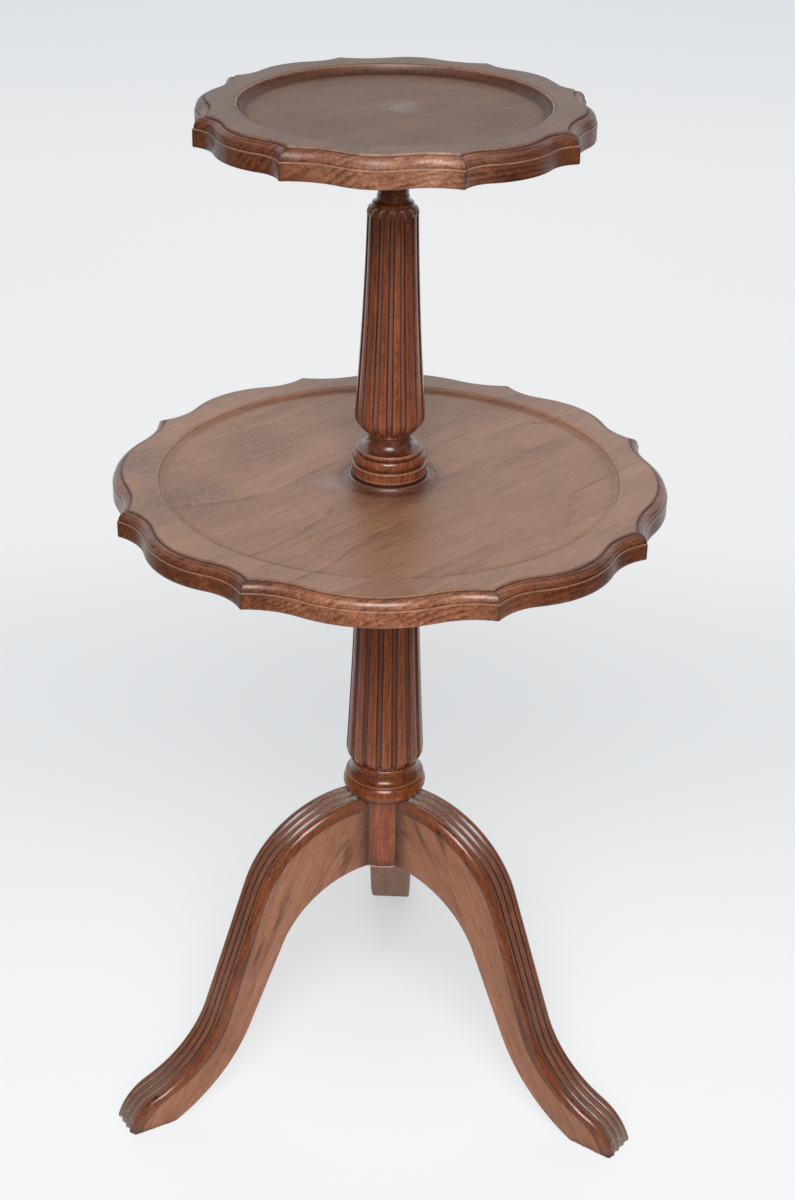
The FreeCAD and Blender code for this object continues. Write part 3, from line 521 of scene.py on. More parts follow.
class Crust:
    """The pie-crust outline of a tray: lobes of a crown between two coves.

    arcs is (crown radius, cove radius) of a long and a short lobe.
    """

    def __init__(self, corner_reach, crown_reach, arcs, turn):
        self.lobes = []
        direction = turn
        for i in range(8):
            crown_radius, cove_radius = arcs[i % 2]
            half = LOBE_SPANS[i % 2] / 2
            corners = [polar(corner_reach, direction + side * half) for side in (-1, 1)]
            crown = polar(crown_reach - crown_radius, direction)
            outside = polar(2 * corner_reach, direction)
            coves = [
                circle_meet(corner, cove_radius, crown, crown_radius + cove_radius, outside)
                for corner in corners
            ]
            self.lobes.append((crown, crown_radius, coves, cove_radius, corners))
            direction += half + LOBE_SPANS[(i + 1) % 2] / 2

    def outline(self, inset, blunt=0.0):
        """The outline moved in by inset, with how near each point is to a corner.

        blunt takes the corner itself back a little, as rubbing does.
        """
        points = []
        for i, (crown, crown_radius, coves, cove_radius, corners) in enumerate(self.lobes):
            before, after = self.lobes[i - 1], self.lobes[(i + 1) % 8]
            reach = cove_radius + inset
            start = circle_meet(before[2][1], before[3] + inset, coves[0], reach, corners[0])
            end = circle_meet(coves[1], reach, after[2][0], after[3] + inset, corners[1])
            joins = [crown + (cove - crown).normalized() * (crown_radius - inset) for cove in coves]
            first = about(coves[0], start, joins[0], COVE_STEPS)
            last = about(coves[1], joins[1], end, [1 - t for t in reversed(COVE_STEPS)])
            nearness = [exp(-t / 0.06) for t in COVE_STEPS]
            points.append((start - start.normalized() * blunt, 1.0))
            points += zip(first, nearness)
            smooth = [joins[0], *about(crown, *joins, CROWN_STEPS), joins[1]]
            points += [(point, 0.0) for point in smooth]
            points += zip(last, reversed(nearness))
        return points


class TrayShape:
    """Grows a tray ring by ring, from the middle of its underside round to that of its top."""

    def __init__(self, crust, top_z):
        self.bm = new_shape()
        self.crust, self.top_z = crust, top_z
        self.rays = [p.normalized() for p, _ in crust.outline(EDGE_WIDTH)]
        self.loop = None

    def put(self, points, depth, soil, wear, polish, mitre):
        places = []
        for point, corner in points:
            # mitre paints shade into the coves of the outline, strongest at each corner
            attributes = {"soil": min(1.0, soil + mitre * corner), "wear": wear, "polish": polish}
            places.append(((point.x, point.y, self.top_z - HAIR - depth), attributes))
        if self.loop:
            self.loop = next_ring(self.bm, self.loop, places)
        else:
            self.loop = first_ring(self.bm, places)

    def round(self, radius, depth, soil=0.0, wear=0.0, polish=0.0):
        self.put([(ray * radius, 0.0) for ray in self.rays], depth, soil, wear, polish, 0.0)

    def crusted(self, inset, depth, soil=0.0, wear=0.0, polish=1.0, mitre=0.0, blunt=0.25):
        self.put(self.crust.outline(inset + HAIR, blunt), depth, soil, wear, polish, mitre)

    def band(self, inset, radius, share, depth, polish=0.0):
        """A ring on the flat rim, between the outline at inset and a circle."""
        points = []
        for (point, _), ray in zip(self.crust.outline(inset), self.rays):
            points.append((point.lerp(ray * radius, share), 0.0))
        self.put(points, depth, 0.0, 0.0, polish, 0.0)

    def run(self, start, end, swell, count, soils, polish=0.0):
        """Rings along a bowed line of (radius, depth) points; soils are at its start and end."""
        points = arc_points(start, end, swell, count)
        for k, (radius, depth) in enumerate(points):
            soil = soils[0] + (soils[1] - soils[0]) * (k + 1) / count
            self.round(radius, depth, soil, polish=polish)


def tray(name, material, crust, top_z, thickness, edge_drop, quirk, dish, boss=None, bore=None):
    """A tray, from its underside round by its outer face, moulded edge and rim to the dish.

    edge_drop is from the rim down to the outer face, and quirk down to the ovolo.
    dish is (radius, depth, cove width, soil). boss is the raised seat round the bore,
    (radius, cove width).
    """
    shape = TrayShape(crust, top_z)
    edge, ring = shape.crusted, shape.round
    dish_radius, dish_depth, dish_cove, dirty = dish
    for radius in (bore or MIDDLE, 60.0, 0.62 * dish_radius):
        ring(radius, thickness)
    edge(6.0, thickness, soil=0.15, polish=0.2)
    edge(1.1, thickness, soil=0.25, polish=0.5)
    edge(0.35, thickness - 0.3, wear=0.4)
    # mitre paints shade into the coves of the outer face and the ovolo
    for share in (0.0, 0.25, 0.5, 0.75):
        depth = thickness - 1.0 + (edge_drop + 1.4 - thickness + 1.0) * share
        edge(0.0, depth, mitre=0.7, blunt=0.5)
    edge(0.0, edge_drop + 1.4, mitre=0.6, blunt=0.5)
    # Rubbing and a painted highlight along the arris above the outer face
    edge(0.0, edge_drop + 0.8, mitre=0.3, wear=0.7, blunt=0.5)
    edge(0.2, edge_drop + 0.2, wear=1.0, blunt=0.5)
    edge(0.65, edge_drop, wear=0.7, blunt=0.4)
    edge(ARRIS_STEP, edge_drop - 0.02, soil=0.55, mitre=0.3)
    rise = edge_drop - 0.5 - quirk
    # The ovolo, with rubbing and a painted highlight along its middle
    for k in range(0, 13):
        a = radians(90.0 * k / 12)
        inset = OVOLO_TOP - (OVOLO_TOP - ARRIS_STEP) * cos(a)
        depth = quirk + rise * (1 - sin(a))
        soil = 0.5 if k == 0 else 0.35 if k == 12 else 0.0
        edge(inset, depth, soil=soil, wear=0.25 if k in (6, 7) else 0.0, mitre=0.6)
    edge(7.6, quirk + 0.04, soil=0.75, mitre=0.3)
    edge(8.30, quirk, soil=0.95)
    # Rubbing and a painted highlight along the rim's outer edge
    edge(8.42, quirk - 0.3, soil=0.15, wear=0.4)
    edge(8.48, 0.55, wear=0.8)
    edge(8.65, 0.15, wear=0.6, polish=0.9)
    edge(9.05, 0.02, soil=0.3, polish=0.7)
    edge(9.7, 0.0, polish=0.25)
    edge(10.6, 0.0, polish=0.0)
    lip = dish_radius + 1.2
    for share in (0.15, 0.4, 0.7, 0.9):
        shape.band(10.6, lip, share, 0.0)
    ring(lip + 0.8, 0.0, soil=0.12 * dirty)
    ring(lip + 0.1, 0.03, soil=0.42 * dirty, polish=0.5 * dirty)
    ring(lip - 0.45, 0.25, wear=0.8, polish=0.8 * dirty)
    ring(dish_radius - 0.2, 0.7, wear=0.7, polish=0.8 * dirty)
    ring(dish_radius - 0.5, 1.5, wear=0.2, polish=0.8 * dirty)
    floor_radius = dish_radius - dish_cove
    start, end = (dish_radius - 0.5, 1.5), (floor_radius, dish_depth)
    shape.run(start, end, 0.17 * dish_cove, 10, (0.42 * dirty, 0.68 * dirty), 0.7 * dirty)
    ring(floor_radius - 1.2, dish_depth, soil=0.36 * dirty, polish=0.3 * dirty)
    ring(floor_radius - 3.0, dish_depth, soil=0.14 * dirty)
    ring(floor_radius - 7.0, dish_depth)
    if boss:
        boss_radius, boss_cove = boss
        foot = (boss_radius + boss_cove, dish_depth)
        for share in (0.8, 0.55, 0.36):
            ring(share * floor_radius, dish_depth)
        for beyond, soil in ((9.0, 0.05), (4.0, 0.22)):
            ring(foot[0] + beyond, dish_depth, soil)
        ring(*foot, soil=0.42, polish=0.5)
        shape.run(foot, (boss_radius + 0.4, 0.25), 0.15 * boss_cove, 8, (0.42, 0.15), 1.0)
        # A painted reflection with rubbing: the pale line round the seat's edge
        ring(boss_radius, 0.0, soil=0.1, wear=0.8, polish=1.0)
        ring(boss_radius - 0.9, 0.0, soil=0.25, wear=0.3, polish=1.0)
        ring(boss_radius - 1.6, 0.0, soil=1.0, polish=0.9)
        ring(bore, 0.0, soil=1.0)
        ring(bore, thickness)
    else:
        for share in (0.8, 0.55, 0.3, 0.12):
            ring(share * floor_radius, dish_depth)
        ring(MIDDLE, dish_depth)
        close_holes(shape.bm)
    finish_piece(shape.bm, name, material, 34.0)


# ---- Turned and fluted columns ----

LEG_DIRECTIONS = {"front_left": -59.9, "front_right": 54.6, "rear": 177.6}
LEG_HALF = 19.0  # half a leg's thickness
CREST_Z, ROOT_Z, SOLE_Z = 289.6, 219.5, 1.5  # a leg's top and root at the hub, and its sole
HUB_RADIUS = 33.5
FLUTES = 15
FLUTE_STEPS = 16  # of the lathe, for each flute
# Where the verts of half a flute lie, in shares of its half width, and then in shares of
# the flat beside it, with their depth. The soil, painted shade with grime along
# the flutes' edges, is from the flute's middle outwards.
GROOVE_SHARES = (0.0, 0.24, 0.45, 0.64, 0.84, 1.0)
FLAT_SHARES = ((0.10, 0.045), (0.35, 0.0), (1.0, -0.02))
GROOVE_SHADE_AND_SOIL = (0.08, 0.12, 0.28, 0.70, 1.0, 0.95, 0.22)


def flute_section(half_width, half_pitch):
    """Sideways offsets and depths (0 to 1) across half a flute and half a ridge."""
    across = [share * half_width for share in GROOVE_SHARES]
    depths = [sqrt(1 - (0.98 * share) ** 2) for share in GROOVE_SHARES]
    land = half_pitch - half_width
    for share, depth in FLAT_SHARES:
        across.append(half_width + share * land)
        depths.append(depth)
    return across, depths


def flute(bm, stations, first_direction, deepest, dust_and_sheen, edging):
    """Cuts the flutes by moving the verts of a turned shaft.

    stations maps a row of the profile to (normal, half width, share of the full depth,
    shaft radius). Where a shaft radius is given the groove runs straight on at that
    radius, out through the shoulder. edging is the darkening along the flutes' edges:
    painted shade with grime. dust_and_sheen is the haze in the flutes: grime with
    painted sheen.
    """
    layers = bm.verts.layers.float
    pitch = 2 * pi / FLUTES
    for vert in bm.verts:
        station = stations.get(round(vert[layers["row"]]))
        if not station:
            continue
        (nx, nz), half_width, share, straight = station
        radius = hypot(vert.co.x, vert.co.y)
        angle = atan2(vert.co.x, -vert.co.y) - radians(first_direction)
        step = round(angle / (pitch / FLUTE_STEPS))
        index = (step + FLUTE_STEPS // 2) % FLUTE_STEPS - FLUTE_STEPS // 2
        centre = (step - index) * pitch / FLUTE_STEPS
        away = abs(index)
        across, depths = flute_section(half_width, radius * pitch / 2)
        offset = copysign(across[away], index) if index else 0.0
        cut = share * depths[away]
        depth = deepest * cut
        scooped = False
        if straight:
            depth = max(0.0, radius - (straight - depth)) if depths[away] > 0.1 else 0.0
            nx, nz = 1.0, 0.0
            cut = min(cut, depth / deepest)
            scooped = cut < 0.75 and away < 6
        a = radians(first_direction) + centre + offset / radius
        r = radius - depth * nx
        vert.co = (r * sin(a), -r * cos(a), vert.co.z - depth * nz)
        # Painted shade with grime along the flutes' edges
        soil = GROOVE_SHADE_AND_SOIL[away] * edging * min(1.0, 1.6 * share) if away < 7 else 0.0
        vert[layers["soil"]] = max(vert[layers["soil"]] * (0.4 if share > 0 else 1), soil)
        # A painted highlight with a worn lip at each flute's run-out
        if scooped:
            vert[layers["wear"]], vert[layers["soil"]] = 2.0 * (1 - cut), 0.0
        # Grime with painted sheen down the flutes
        if away < 4:
            vert[layers["dust"]] = dust_and_sheen * cut
        if away in (6, 7) and share > 0.5:
            vert[layers["wear"]] = 0.45 if away == 6 else 0.15


def add_shaft(profile, foot_radius, slope, bulb_radius, bulb_end, shaft_radius, shaft_turn,
              flutes, shoulder):
    """Bulb, taper and shoulder, with a station for each row that the flutes reach.

    slope and bulb_end are the bulb's headings at its ends, in degrees above level.
    flutes is (heading where they start, half width at the bulb, half width at the top,
    open at the foot or not). shoulder is (height, end radius).
    """
    begin, wide, narrow, is_open = flutes
    first = len(profile.points)
    profile.to(foot_radius, 0.0, soil=0.5)
    profile.arc(slope, bulb_radius, bulb_end - slope, 30)
    heading = radians(bulb_end)
    end = heading - radians(shaft_turn)
    x0, z0 = profile.x, profile.z
    top_z = z0 + shaft_radius * (cos(end) - cos(heading))
    for k in range(1, 41):
        z = z0 + (top_z - z0) * k / 40
        h = acos(max(-1.0, cos(heading) + (z - z0) / shaft_radius))
        profile.add(x0 - shaft_radius * (sin(h) - sin(heading)), z)
    top_row = len(profile.points)
    lean = (profile.x - x0) / (profile.z - z0)
    top_x, top_z = profile.x, profile.z
    height, end_radius = shoulder
    drop = top_x - end_radius
    profile.to(end_radius, height, 0.207 * hypot(drop, height), 16, soil=0.5)
    stations = {}
    points = profile.points
    foot = 0.0 if is_open else bulb_radius * radians(begin - slope)
    travelled = 0.0
    for row in range(first, len(points)):
        x, z, _, _ = points[row]
        if row > first:
            travelled += hypot(x - points[row - 1][0], z - points[row - 1][1])
        if row >= top_row:
            stations[row] = ((1.0, 0.0), narrow, 1.0, top_x + lean * (z - top_z))
            continue
        ahead, behind = points[min(row + 1, top_row - 1)], points[max(row - 1, first)]
        dx, dz = ahead[0] - behind[0], ahead[1] - behind[1]
        length = hypot(dx, dz)
        rise = (z - z0) / (top_z - z0)
        half_width = wide + (narrow - wide) * max(0.0, rise)
        into = 1.0 if is_open else min(1.0, max(0.0, (travelled - foot) / (1.3 * wide)))
        share = sqrt(max(0.0, 1 - (1 - into) ** 2))
        if share > 0:
            normal = (dz / length, -dx / length)
            stations[row] = (normal, half_width * max(0.15, share), share, None)
    return stations


def add_neck(profile, ring_radius, neck_radius, neck_rise, collar_radius):
    """The fillet, flange, scotia and collar over a shaft's shoulder."""
    profile.to(ring_radius, 0.15, soil=0.4, wear=0.8)
    profile.to(ring_radius, 0.7, 0.12, 3, wear=1.6)
    profile.to(ring_radius - 0.9, 0.15, soil=0.9)
    profile.to(ring_radius - 0.75, 2.3, 0.75, 8, soil=0.3)
    depth = ring_radius - 0.75 - neck_radius
    # Painted shade down the scotia and the cove under the collar
    profile.to(neck_radius, neck_rise, -0.20 * hypot(depth, neck_rise), 10, dark=0.5)
    depth, rise = collar_radius - neck_radius, 18.9 - neck_rise
    profile.to(collar_radius, rise, -0.16 * hypot(depth, rise), 10, dark=0.6)
    profile.to(collar_radius, 3.0, soil=0.6)
    profile.to(collar_radius, 9.0, 2.4, 9, soil=0.6)
    profile.to(collar_radius, 3.0)


def lower_column(material):
    # Hub
    p = Profile(0.05, 219.5)
    p.to(32.5, 0.0, soil=0.3)
    # A painted highlight with rubbing along the hub's lower edge
    p.to(33.3, 0.5, wear=3.0)
    p.to(33.5, 1.3, 0.05, 1, wear=3.0)
    p.to(33.5, 0.2, soil=0.7)
    p.to(33.5, 8.0, soil=0.12)
    p.to(33.5, 54.0, count=6)
    p.to(33.5, 4.8, soil=0.2)
    p.to(33.5, 1.2, soil=0.9)
    # Torus, lip, saucer and bead
    p.to(34.2, 14.4, 3.3, 20, soil=1.0)
    p.to(34.5, 0.25, soil=1.0)
    p.to(34.9, 0.45, soil=0.9)
    p.to(34.9, 0.2, soil=0.1, wear=0.5)
    p.to(34.9, 1.7, 0.35, 5, wear=0.8)
    p.to(34.3, 0.25, soil=0.1, wear=0.3)
    # Painted shade down the saucer
    p.to(28.6, 9.7, -0.16 * hypot(5.7, 9.7), 12, soil=0.75, dark=0.45)
    p.to(28.6, 4.5, 1.3, 9, soil=0.95)
    stations = add_shaft(
        p, foot_radius=27.6, slope=24.3, bulb_radius=11.9, bulb_end=93.1, shaft_radius=6870.0,
        shaft_turn=1.5, flutes=(37.0, 2.75, 2.55, True), shoulder=(7.0, 22.0),
    )
    add_neck(p, ring_radius=22.0, neck_radius=17.6, neck_rise=6.4, collar_radius=23.5)
    # Tenon, with the socket for the upper column's spigot
    p.add(17.0, 557.88)
    p.to(17.0, 20.5)
    p.to(11.1, 0.0)
    p.to(11.1, -47.0)
    p.to(0.05, 0.0)
    bm = lathed(p.points, FLUTE_STEPS * FLUTES)
    flute(bm, stations, first_direction=-9.2, deepest=2.7, dust_and_sheen=1.0, edging=0.55)
    # Dark joints beside the legs
    soil = bm.verts.layers.float["soil"]
    joint = degrees(asin(LEG_HALF / HUB_RADIUS))
    for vert in bm.verts:
        if vert.co.z < CREST_Z - 0.6 and hypot(vert.co.x, vert.co.y) > HUB_RADIUS - 0.4:
            facing = degrees(atan2(vert.co.x, -vert.co.y))
            turns = [abs((facing - leg + 180) % 360 - 180) for leg in LEG_DIRECTIONS.values()]
            beyond = min(turn - joint for turn in turns)
            vert[soil] = max(vert[soil], 0.9 if beyond < 1.6 else 0.4 if beyond < 3.2 else 0.0)
    finish_piece(bm, "lower_column", material, 42.0)


def upper_column(material):
    # Spigot
    p = Profile(0.05, 533.38)
    p.to(10.6, 0.0)
    p.to(11.0, 0.4)
    p.to(11.0, 67.5)
    # Foot band, groove, torus, lip, waist and bead
    p.to(29.6, 0.0, soil=1.0)
    p.to(30.2, 0.15, soil=1.0)
    p.to(30.3, 1.7, soil=0.95)
    p.to(31.0, 0.25, soil=0.3, wear=0.4)
    p.to(31.4, 0.7, 0.12, 3, wear=0.9)
    p.to(31.4, 6.9, 0.10, 4, soil=0.55, dark=0.20)
    p.to(31.4, 0.8, 0.02, 2, wear=0.9)
    p.to(31.0, 0.85, 0.12, 3, wear=1.3)
    p.to(29.4, 0.25, soil=1.0)
    p.to(29.2, 1.3, 0.05, 3, soil=1.0, dark=0.9)
    p.to(29.3, 8.4, 2.1, 14, soil=0.95, dark=0.20)
    p.to(27.4, 0.1, soil=1.0)
    p.to(27.2, 0.5, soil=0.9)
    p.to(27.2, 2.4, 0.25, 4, wear=0.9)
    p.to(26.6, 0.6, 0.1, 2, wear=0.7)
    p.to(26.3, 0.3, soil=0.9)
    # Painted shade down the waist
    p.to(17.6, 10.3, -0.21 * hypot(8.7, 10.3), 16, dark=0.80)
    p.to(17.6, 1.4, soil=0.8)
    p.to(17.6, 2.6, 1.4, 8, soil=0.9, dark=0.3)
    stations = add_shaft(
        p, foot_radius=18.3, slope=18.0, bulb_radius=16.0, bulb_end=94.3, shaft_radius=3490.0,
        shaft_turn=2.78, flutes=(27.0, 2.75, 2.15, False), shoulder=(6.7, 17.5),
    )
    add_neck(p, ring_radius=17.0, neck_radius=13.2, neck_rise=4.6, collar_radius=17.5)
    # Tenon
    p.add(11.0, 870.5)
    p.to(11.0, 20.5)
    p.to(0.05, 0.0)
    bm = lathed(p.points, FLUTE_STEPS * FLUTES)
    flute(bm, stations, first_direction=-0.9, deepest=2.3, dust_and_sheen=0.9, edging=0.85)
    finish_piece(bm, "upper_column", material, 42.0)


# ---- Legs ----

# A leg's top and under edges leave the hub at a heading, in degrees above level. Then they
# bend: radius, turn in degrees and count of stations. A straight follows the first bend.
CREST = (1.1, ((106.8, -71.3, 34), (115.2, 47.4, 24), (49.9, -50.4, 18)))
ARCH = (-4.4, ((97.0, -61.9, 34), (168.4, 26.7, 24), (168.4, 12.5, 18)))
STRAIGHT_STEPS = 16
REED_PITCH = 8.3
REED_DEPTH, GROOVE_DEPTH, GROOVE_HALF = 2.0, 2.35, 0.55
REED_SHARES = (1.0, 0.94, 0.84, 0.70, 0.52, 0.28, 0.0)
OUTER_CROWN = 12.3  # where the outermost reed runs on into the shoulder
SHOULDER_WIDTH = 6.5
SHOULDER_DEPTH = 9.0
SHOULDER_END = 80.0  # degrees: short of upright, so that a faint arris is left on the side


def leg_edge(z, heading, bends):
    """Points along an edge of a leg. Its straight is as long as it takes to end at the sole."""
    fall, ahead = SOLE_Z - z, heading
    for radius, turn, _ in bends:
        fall -= arc_step(radius, ahead, turn)[1]
        ahead += turn
    x, points = HUB_RADIUS, [(HUB_RADIUS, z)]
    for number, (radius, turn, count) in enumerate(bends):
        for k in range(1, count + 1):
            across, up = arc_step(radius, heading, turn * k / count)
            points.append((x + across, z + up))
        heading += turn
        x, z = points[-1]
        if number == 0:
            points += arc_points((x, z), (x + fall / tan(radians(heading)), z + fall),
                                 0.0, STRAIGHT_STEPS)
            x, z = points[-1]
    return points


def reeding():
    """Sideways places across the top of a leg, with depth, soil, wear and haze at each."""
    half = []

    def add(y, depth, soil=0.0, wear=0.0, dust=0.0):
        half.append((y, depth, soil, wear, dust))

    def flank(edge, crown):
        """The side of a reed, between the edge of a groove and the reed's crown."""
        for share in REED_SHARES if edge < crown else REED_SHARES[-2::-1]:
            soil = max(0.0, (share - 0.72) * 3.2)
            # Halfway up each flank, rubbing and a painted highlight stripe
            wear = 0.25 if 0.2 < share < 0.8 else 0.0
            add(crown + share * (edge - crown), REED_DEPTH * share ** 2.2, soil, wear, 0.3 * share)

    add(0.0, GROOVE_DEPTH, 1.0, 0.0, 0.3)
    flank(GROOVE_HALF, REED_PITCH / 2)
    flank(REED_PITCH - GROOVE_HALF, REED_PITCH / 2)
    add(REED_PITCH, GROOVE_DEPTH, 1.0, 0.0, 0.3)
    flank(REED_PITCH + GROOVE_HALF, OUTER_CROWN)
    end = radians(SHOULDER_END)
    for k in range(1, 11):
        a = end * k / 10
        y = LEG_HALF - SHOULDER_WIDTH * (1 - sin(a) / sin(end))
        depth = SHOULDER_DEPTH * (1 - cos(a)) / (1 - cos(end))
        add(y, depth, 0.6 if k == 10 else 0.0)
    return [(-y, *rest) for y, *rest in reversed(half[1:])] + half


def leg(name, direction, material):
    crest, arch, top = leg_edge(CREST_Z, *CREST), leg_edge(ROOT_Z, *ARCH), reeding()
    bm = new_shape()
    ring = None
    for k, ((tx, tz), (ux, uz)) in enumerate(zip(crest, arch)):
        down = Vector((ux - tx, uz - tz))
        length = down.length
        down.normalize()
        to_go = len(crest) - 1 - k
        near_hub, near_sole = exp(-k / 0.9), exp(-to_go / 1.6)
        toe_soil = 0.40 * exp(-to_go / 7.0)
        dusty_and_sheen = max(exp(-k / 5.0), 0.8 * exp(-to_go / 9.0))
        places = []

        def put(y, below, soil, wear, polish, dust=0.0):
            x, z = tx + down.x * below, tz + down.y * below
            if k == 0:
                x = sqrt(HUB_RADIUS ** 2 - y ** 2) - 0.05
            reeded = polish == 1.0
            soil = max(soil, (0.35 if reeded else 0.85) * near_hub, 0.5 * near_sole)
            soil = min(1.0, soil + toe_soil * (1.0 if reeded else 0.25))
            dust = dust * dusty_and_sheen if reeded else dust
            attributes = {"soil": soil, "wear": wear, "polish": polish, "dust": dust}
            places.append(((x, y, z), attributes))

        for y, depth, soil, wear, dust in top:
            put(y, depth, soil, wear, 1.0, 0.5 + dust + wear if abs(y) < 12.0 else 0.12)
        flat = SHOULDER_DEPTH + 1.3
        left = length - 2.4 - SHOULDER_DEPTH
        side = [
            (LEG_HALF, SHOULDER_DEPTH + 0.5, 0.45, 0.0, 0.35),
            (LEG_HALF, flat, 0.05, 0.0, 0.05),
            *((LEG_HALF, flat + share * left, 0.0, 0.0, 0.0) for share in (0.2, 0.5, 0.8)),
            (LEG_HALF, length - 1.2, 0.0, 0.3, 0.05),
            (LEG_HALF - 0.35, length - 0.35, 0.0, 0.5, 0.1),
            (LEG_HALF - 1.2, length, 0.15, 0.2, 0.1, 0.3),
            (6.0, length, 0.05, 0.0, 0.1, 0.3),
        ]
        for row in side:
            put(*row)
        for y, *row in reversed(side):
            put(-y, *row)
        ring = next_ring(bm, ring, places) if ring else first_ring(bm, places)
    close_holes(bm)
    face_front(bm, direction)
    finish_piece(bm, name, material)


def foot_pad(name, direction, material):
    """A felt pad with a frayed edge."""
    bm = new_shape()
    made = bmesh.ops.create_circle(bm, cap_ends=True, segments=96, radius=1.0)["verts"]
    middle, half_length, half_width = 248.5, 20.4, 17.4
    for vert in made:
        a = atan2(vert.co.y, vert.co.x)
        reach = 1.0 / max(abs(cos(a)) / half_length, abs(sin(a)) / half_width)
        reach += random.uniform(-0.9, 0.7)
        vert.co = (middle + reach * cos(a), reach * sin(a), 0.0)
    for vert in verts_of(bmesh.ops.extrude_face_region(bm, geom=list(bm.faces))["geom"]):
        vert.co.z = SOLE_Z
        vert.co.x += random.uniform(-0.25, 0.25)
    face_front(bm, direction)
    finish_piece(bm, name, material)


# ---- The table ----

GRAIN_PLAN = radians(45.0)
UPRIGHT = (0.0, radians(90.0), 0.0)

# Dark, middle and light colours
TURNED = ((0.090, 0.018, 0.005), (0.265, 0.062, 0.016), (0.43, 0.130, 0.040))
LOWER_EDGE = ((0.068, 0.018, 0.007), (0.205, 0.057, 0.021), (0.345, 0.122, 0.050))
UPPER_EDGE = ((0.052, 0.013, 0.005), (0.152, 0.042, 0.016), (0.262, 0.090, 0.038))
UPPER_TURNED = ((0.085, 0.019, 0.008), (0.270, 0.070, 0.027), (0.43, 0.145, 0.064))
LEG_TOP = ((0.080, 0.019, 0.007), (0.200, 0.052, 0.018), (0.310, 0.102, 0.040))
LEG_SIDE = ((0.215, 0.080, 0.040), (0.350, 0.143, 0.075), (0.465, 0.210, 0.122))
LOWER_TOP = ((0.230, 0.106, 0.054), (0.347, 0.168, 0.089), (0.452, 0.230, 0.132))
UPPER_TOP = ((0.100, 0.043, 0.018), (0.165, 0.073, 0.031), (0.235, 0.110, 0.050))

# Each stain or painted shadow: its middle, its size, its colour and its strength
lower_stains_and_shadow = [
    ((-0.165, -0.055, 0.598), 0.070, (0.085, 0.045, 0.030), 0.60),
    ((-0.120, 0.060, 0.598), 0.060, (0.090, 0.048, 0.032), 0.45),
    ((-0.212, 0.015, 0.601), 0.050, (0.075, 0.042, 0.030), 0.55),
    # A painted shadow round the foot of the upper column
    ((0.0, -0.010, 0.598), 0.095, (0.070, 0.028, 0.014), 0.55),
    ((-0.047, -0.014, 0.598), 0.022, (0.34, 0.31, 0.30), 0.45),
]
upper_stains = [
    ((0.010, 0.010, 0.908), 0.026, (0.36, 0.34, 0.34), 0.45),
    ((-0.060, -0.045, 0.908), 0.050, (0.050, 0.028, 0.020), 0.40),
    ((0.075, -0.020, 0.908), 0.045, (0.055, 0.030, 0.022), 0.35),
]
lower_tray_wood = mahogany(
    "lower_tray_mahogany", (0.0, 0.0, GRAIN_PLAN), (0.04, 0.02, 0.46), LOWER_EDGE, LOWER_TOP,
    gloss=0.28, coat=0.15, dullness=0.06, growth=0.60, stains_and_shadow=lower_stains_and_shadow, scratches=0.30,
    edge_lines=0.70, rim=(0.1955, 0.96), index=1.68, mottled=0.70,
    sunned_and_sheen=((0.0, -0.245, 0.585), 0.13, (2.0, 2.65, 3.5)),
)
upper_tray_wood = mahogany(
    "upper_tray_mahogany", (0.0, 0.0, GRAIN_PLAN), (-0.10, -0.05, 0.80), UPPER_EDGE, UPPER_TOP,
    gloss=0.34, coat=0.08, dullness=0.06, growth=0.40, stains_and_shadow=upper_stains, scratches=0.35,
    edge_lines=0.80, rim=(0.1240, 0.88), index=1.55, mottled=0.45,
    sunned_and_sheen=((0.0, -0.170, 0.900), 0.10, (2.3, 3.5, 5.2)),
)
lower_column_wood = mahogany(
    "lower_column_mahogany", UPRIGHT, (0.02, 0.035, 0.0), TURNED, gloss=0.15, clouded=0.5,
    dust_and_sheen_tone=(0.105, 0.048, 0.040), dust_and_sheen_cover=0.85, mottled=0.45, waxy=0.02,
)
upper_column_wood = mahogany(
    "upper_column_mahogany", UPRIGHT, (0.03, -0.02, 0.3), UPPER_TURNED, gloss=0.15, clouded=0.6,
    dust_and_sheen_tone=(0.165, 0.080, 0.065), dust_and_sheen_cover=0.80, mottled=0.80, waxy=0.02,
)

tray(
    "lower_tray", lower_tray_wood,
    Crust(corner_reach=235.5, crown_reach=234.0, arcs=((116.0, 76.0), (85.0, 50.0)), turn=-3.6),
    top_z=601.28, thickness=22.9, edge_drop=8.4, quirk=1.5, dish=(194.2, 3.5, 6.0, 0.2),
    boss=(33.8, 6.5), bore=11.1,
)
tray(
    "upper_tray", upper_tray_wood,
    Crust(corner_reach=161.0, crown_reach=156.7, arcs=((52.0, 62.0), (68.0, 28.0)), turn=-6.2),
    top_z=915.0, thickness=24.0, edge_drop=9.6, quirk=1.9, dish=(122.4, 7.0, 6.4, 1.0),
)
lower_column(lower_column_wood)
upper_column(upper_column_wood)

felt_finish = felt("foot_felt", (0.055, 0.050, 0.042))
for side, direction in LEG_DIRECTIONS.items():
    along_leg = (0.0, radians(62.0), radians(direction - 90))
    wood = mahogany(
        side + "_leg_mahogany", along_leg, (0.01 * direction / 60, 0.03, 0.02), LEG_TOP, LEG_SIDE,
        gloss=0.15, coat=0.30, streaks=1.0, growth=0.62, clouded=0.45, mottled=0.6, waxy=0.08,
        dust_and_sheen_tone=(0.42, 0.39, 0.33), dust_and_sheen_cover=0.72,
    )
    leg(side + "_leg", direction, wood)
    foot_pad(side + "_foot_pad", direction, felt_finish)

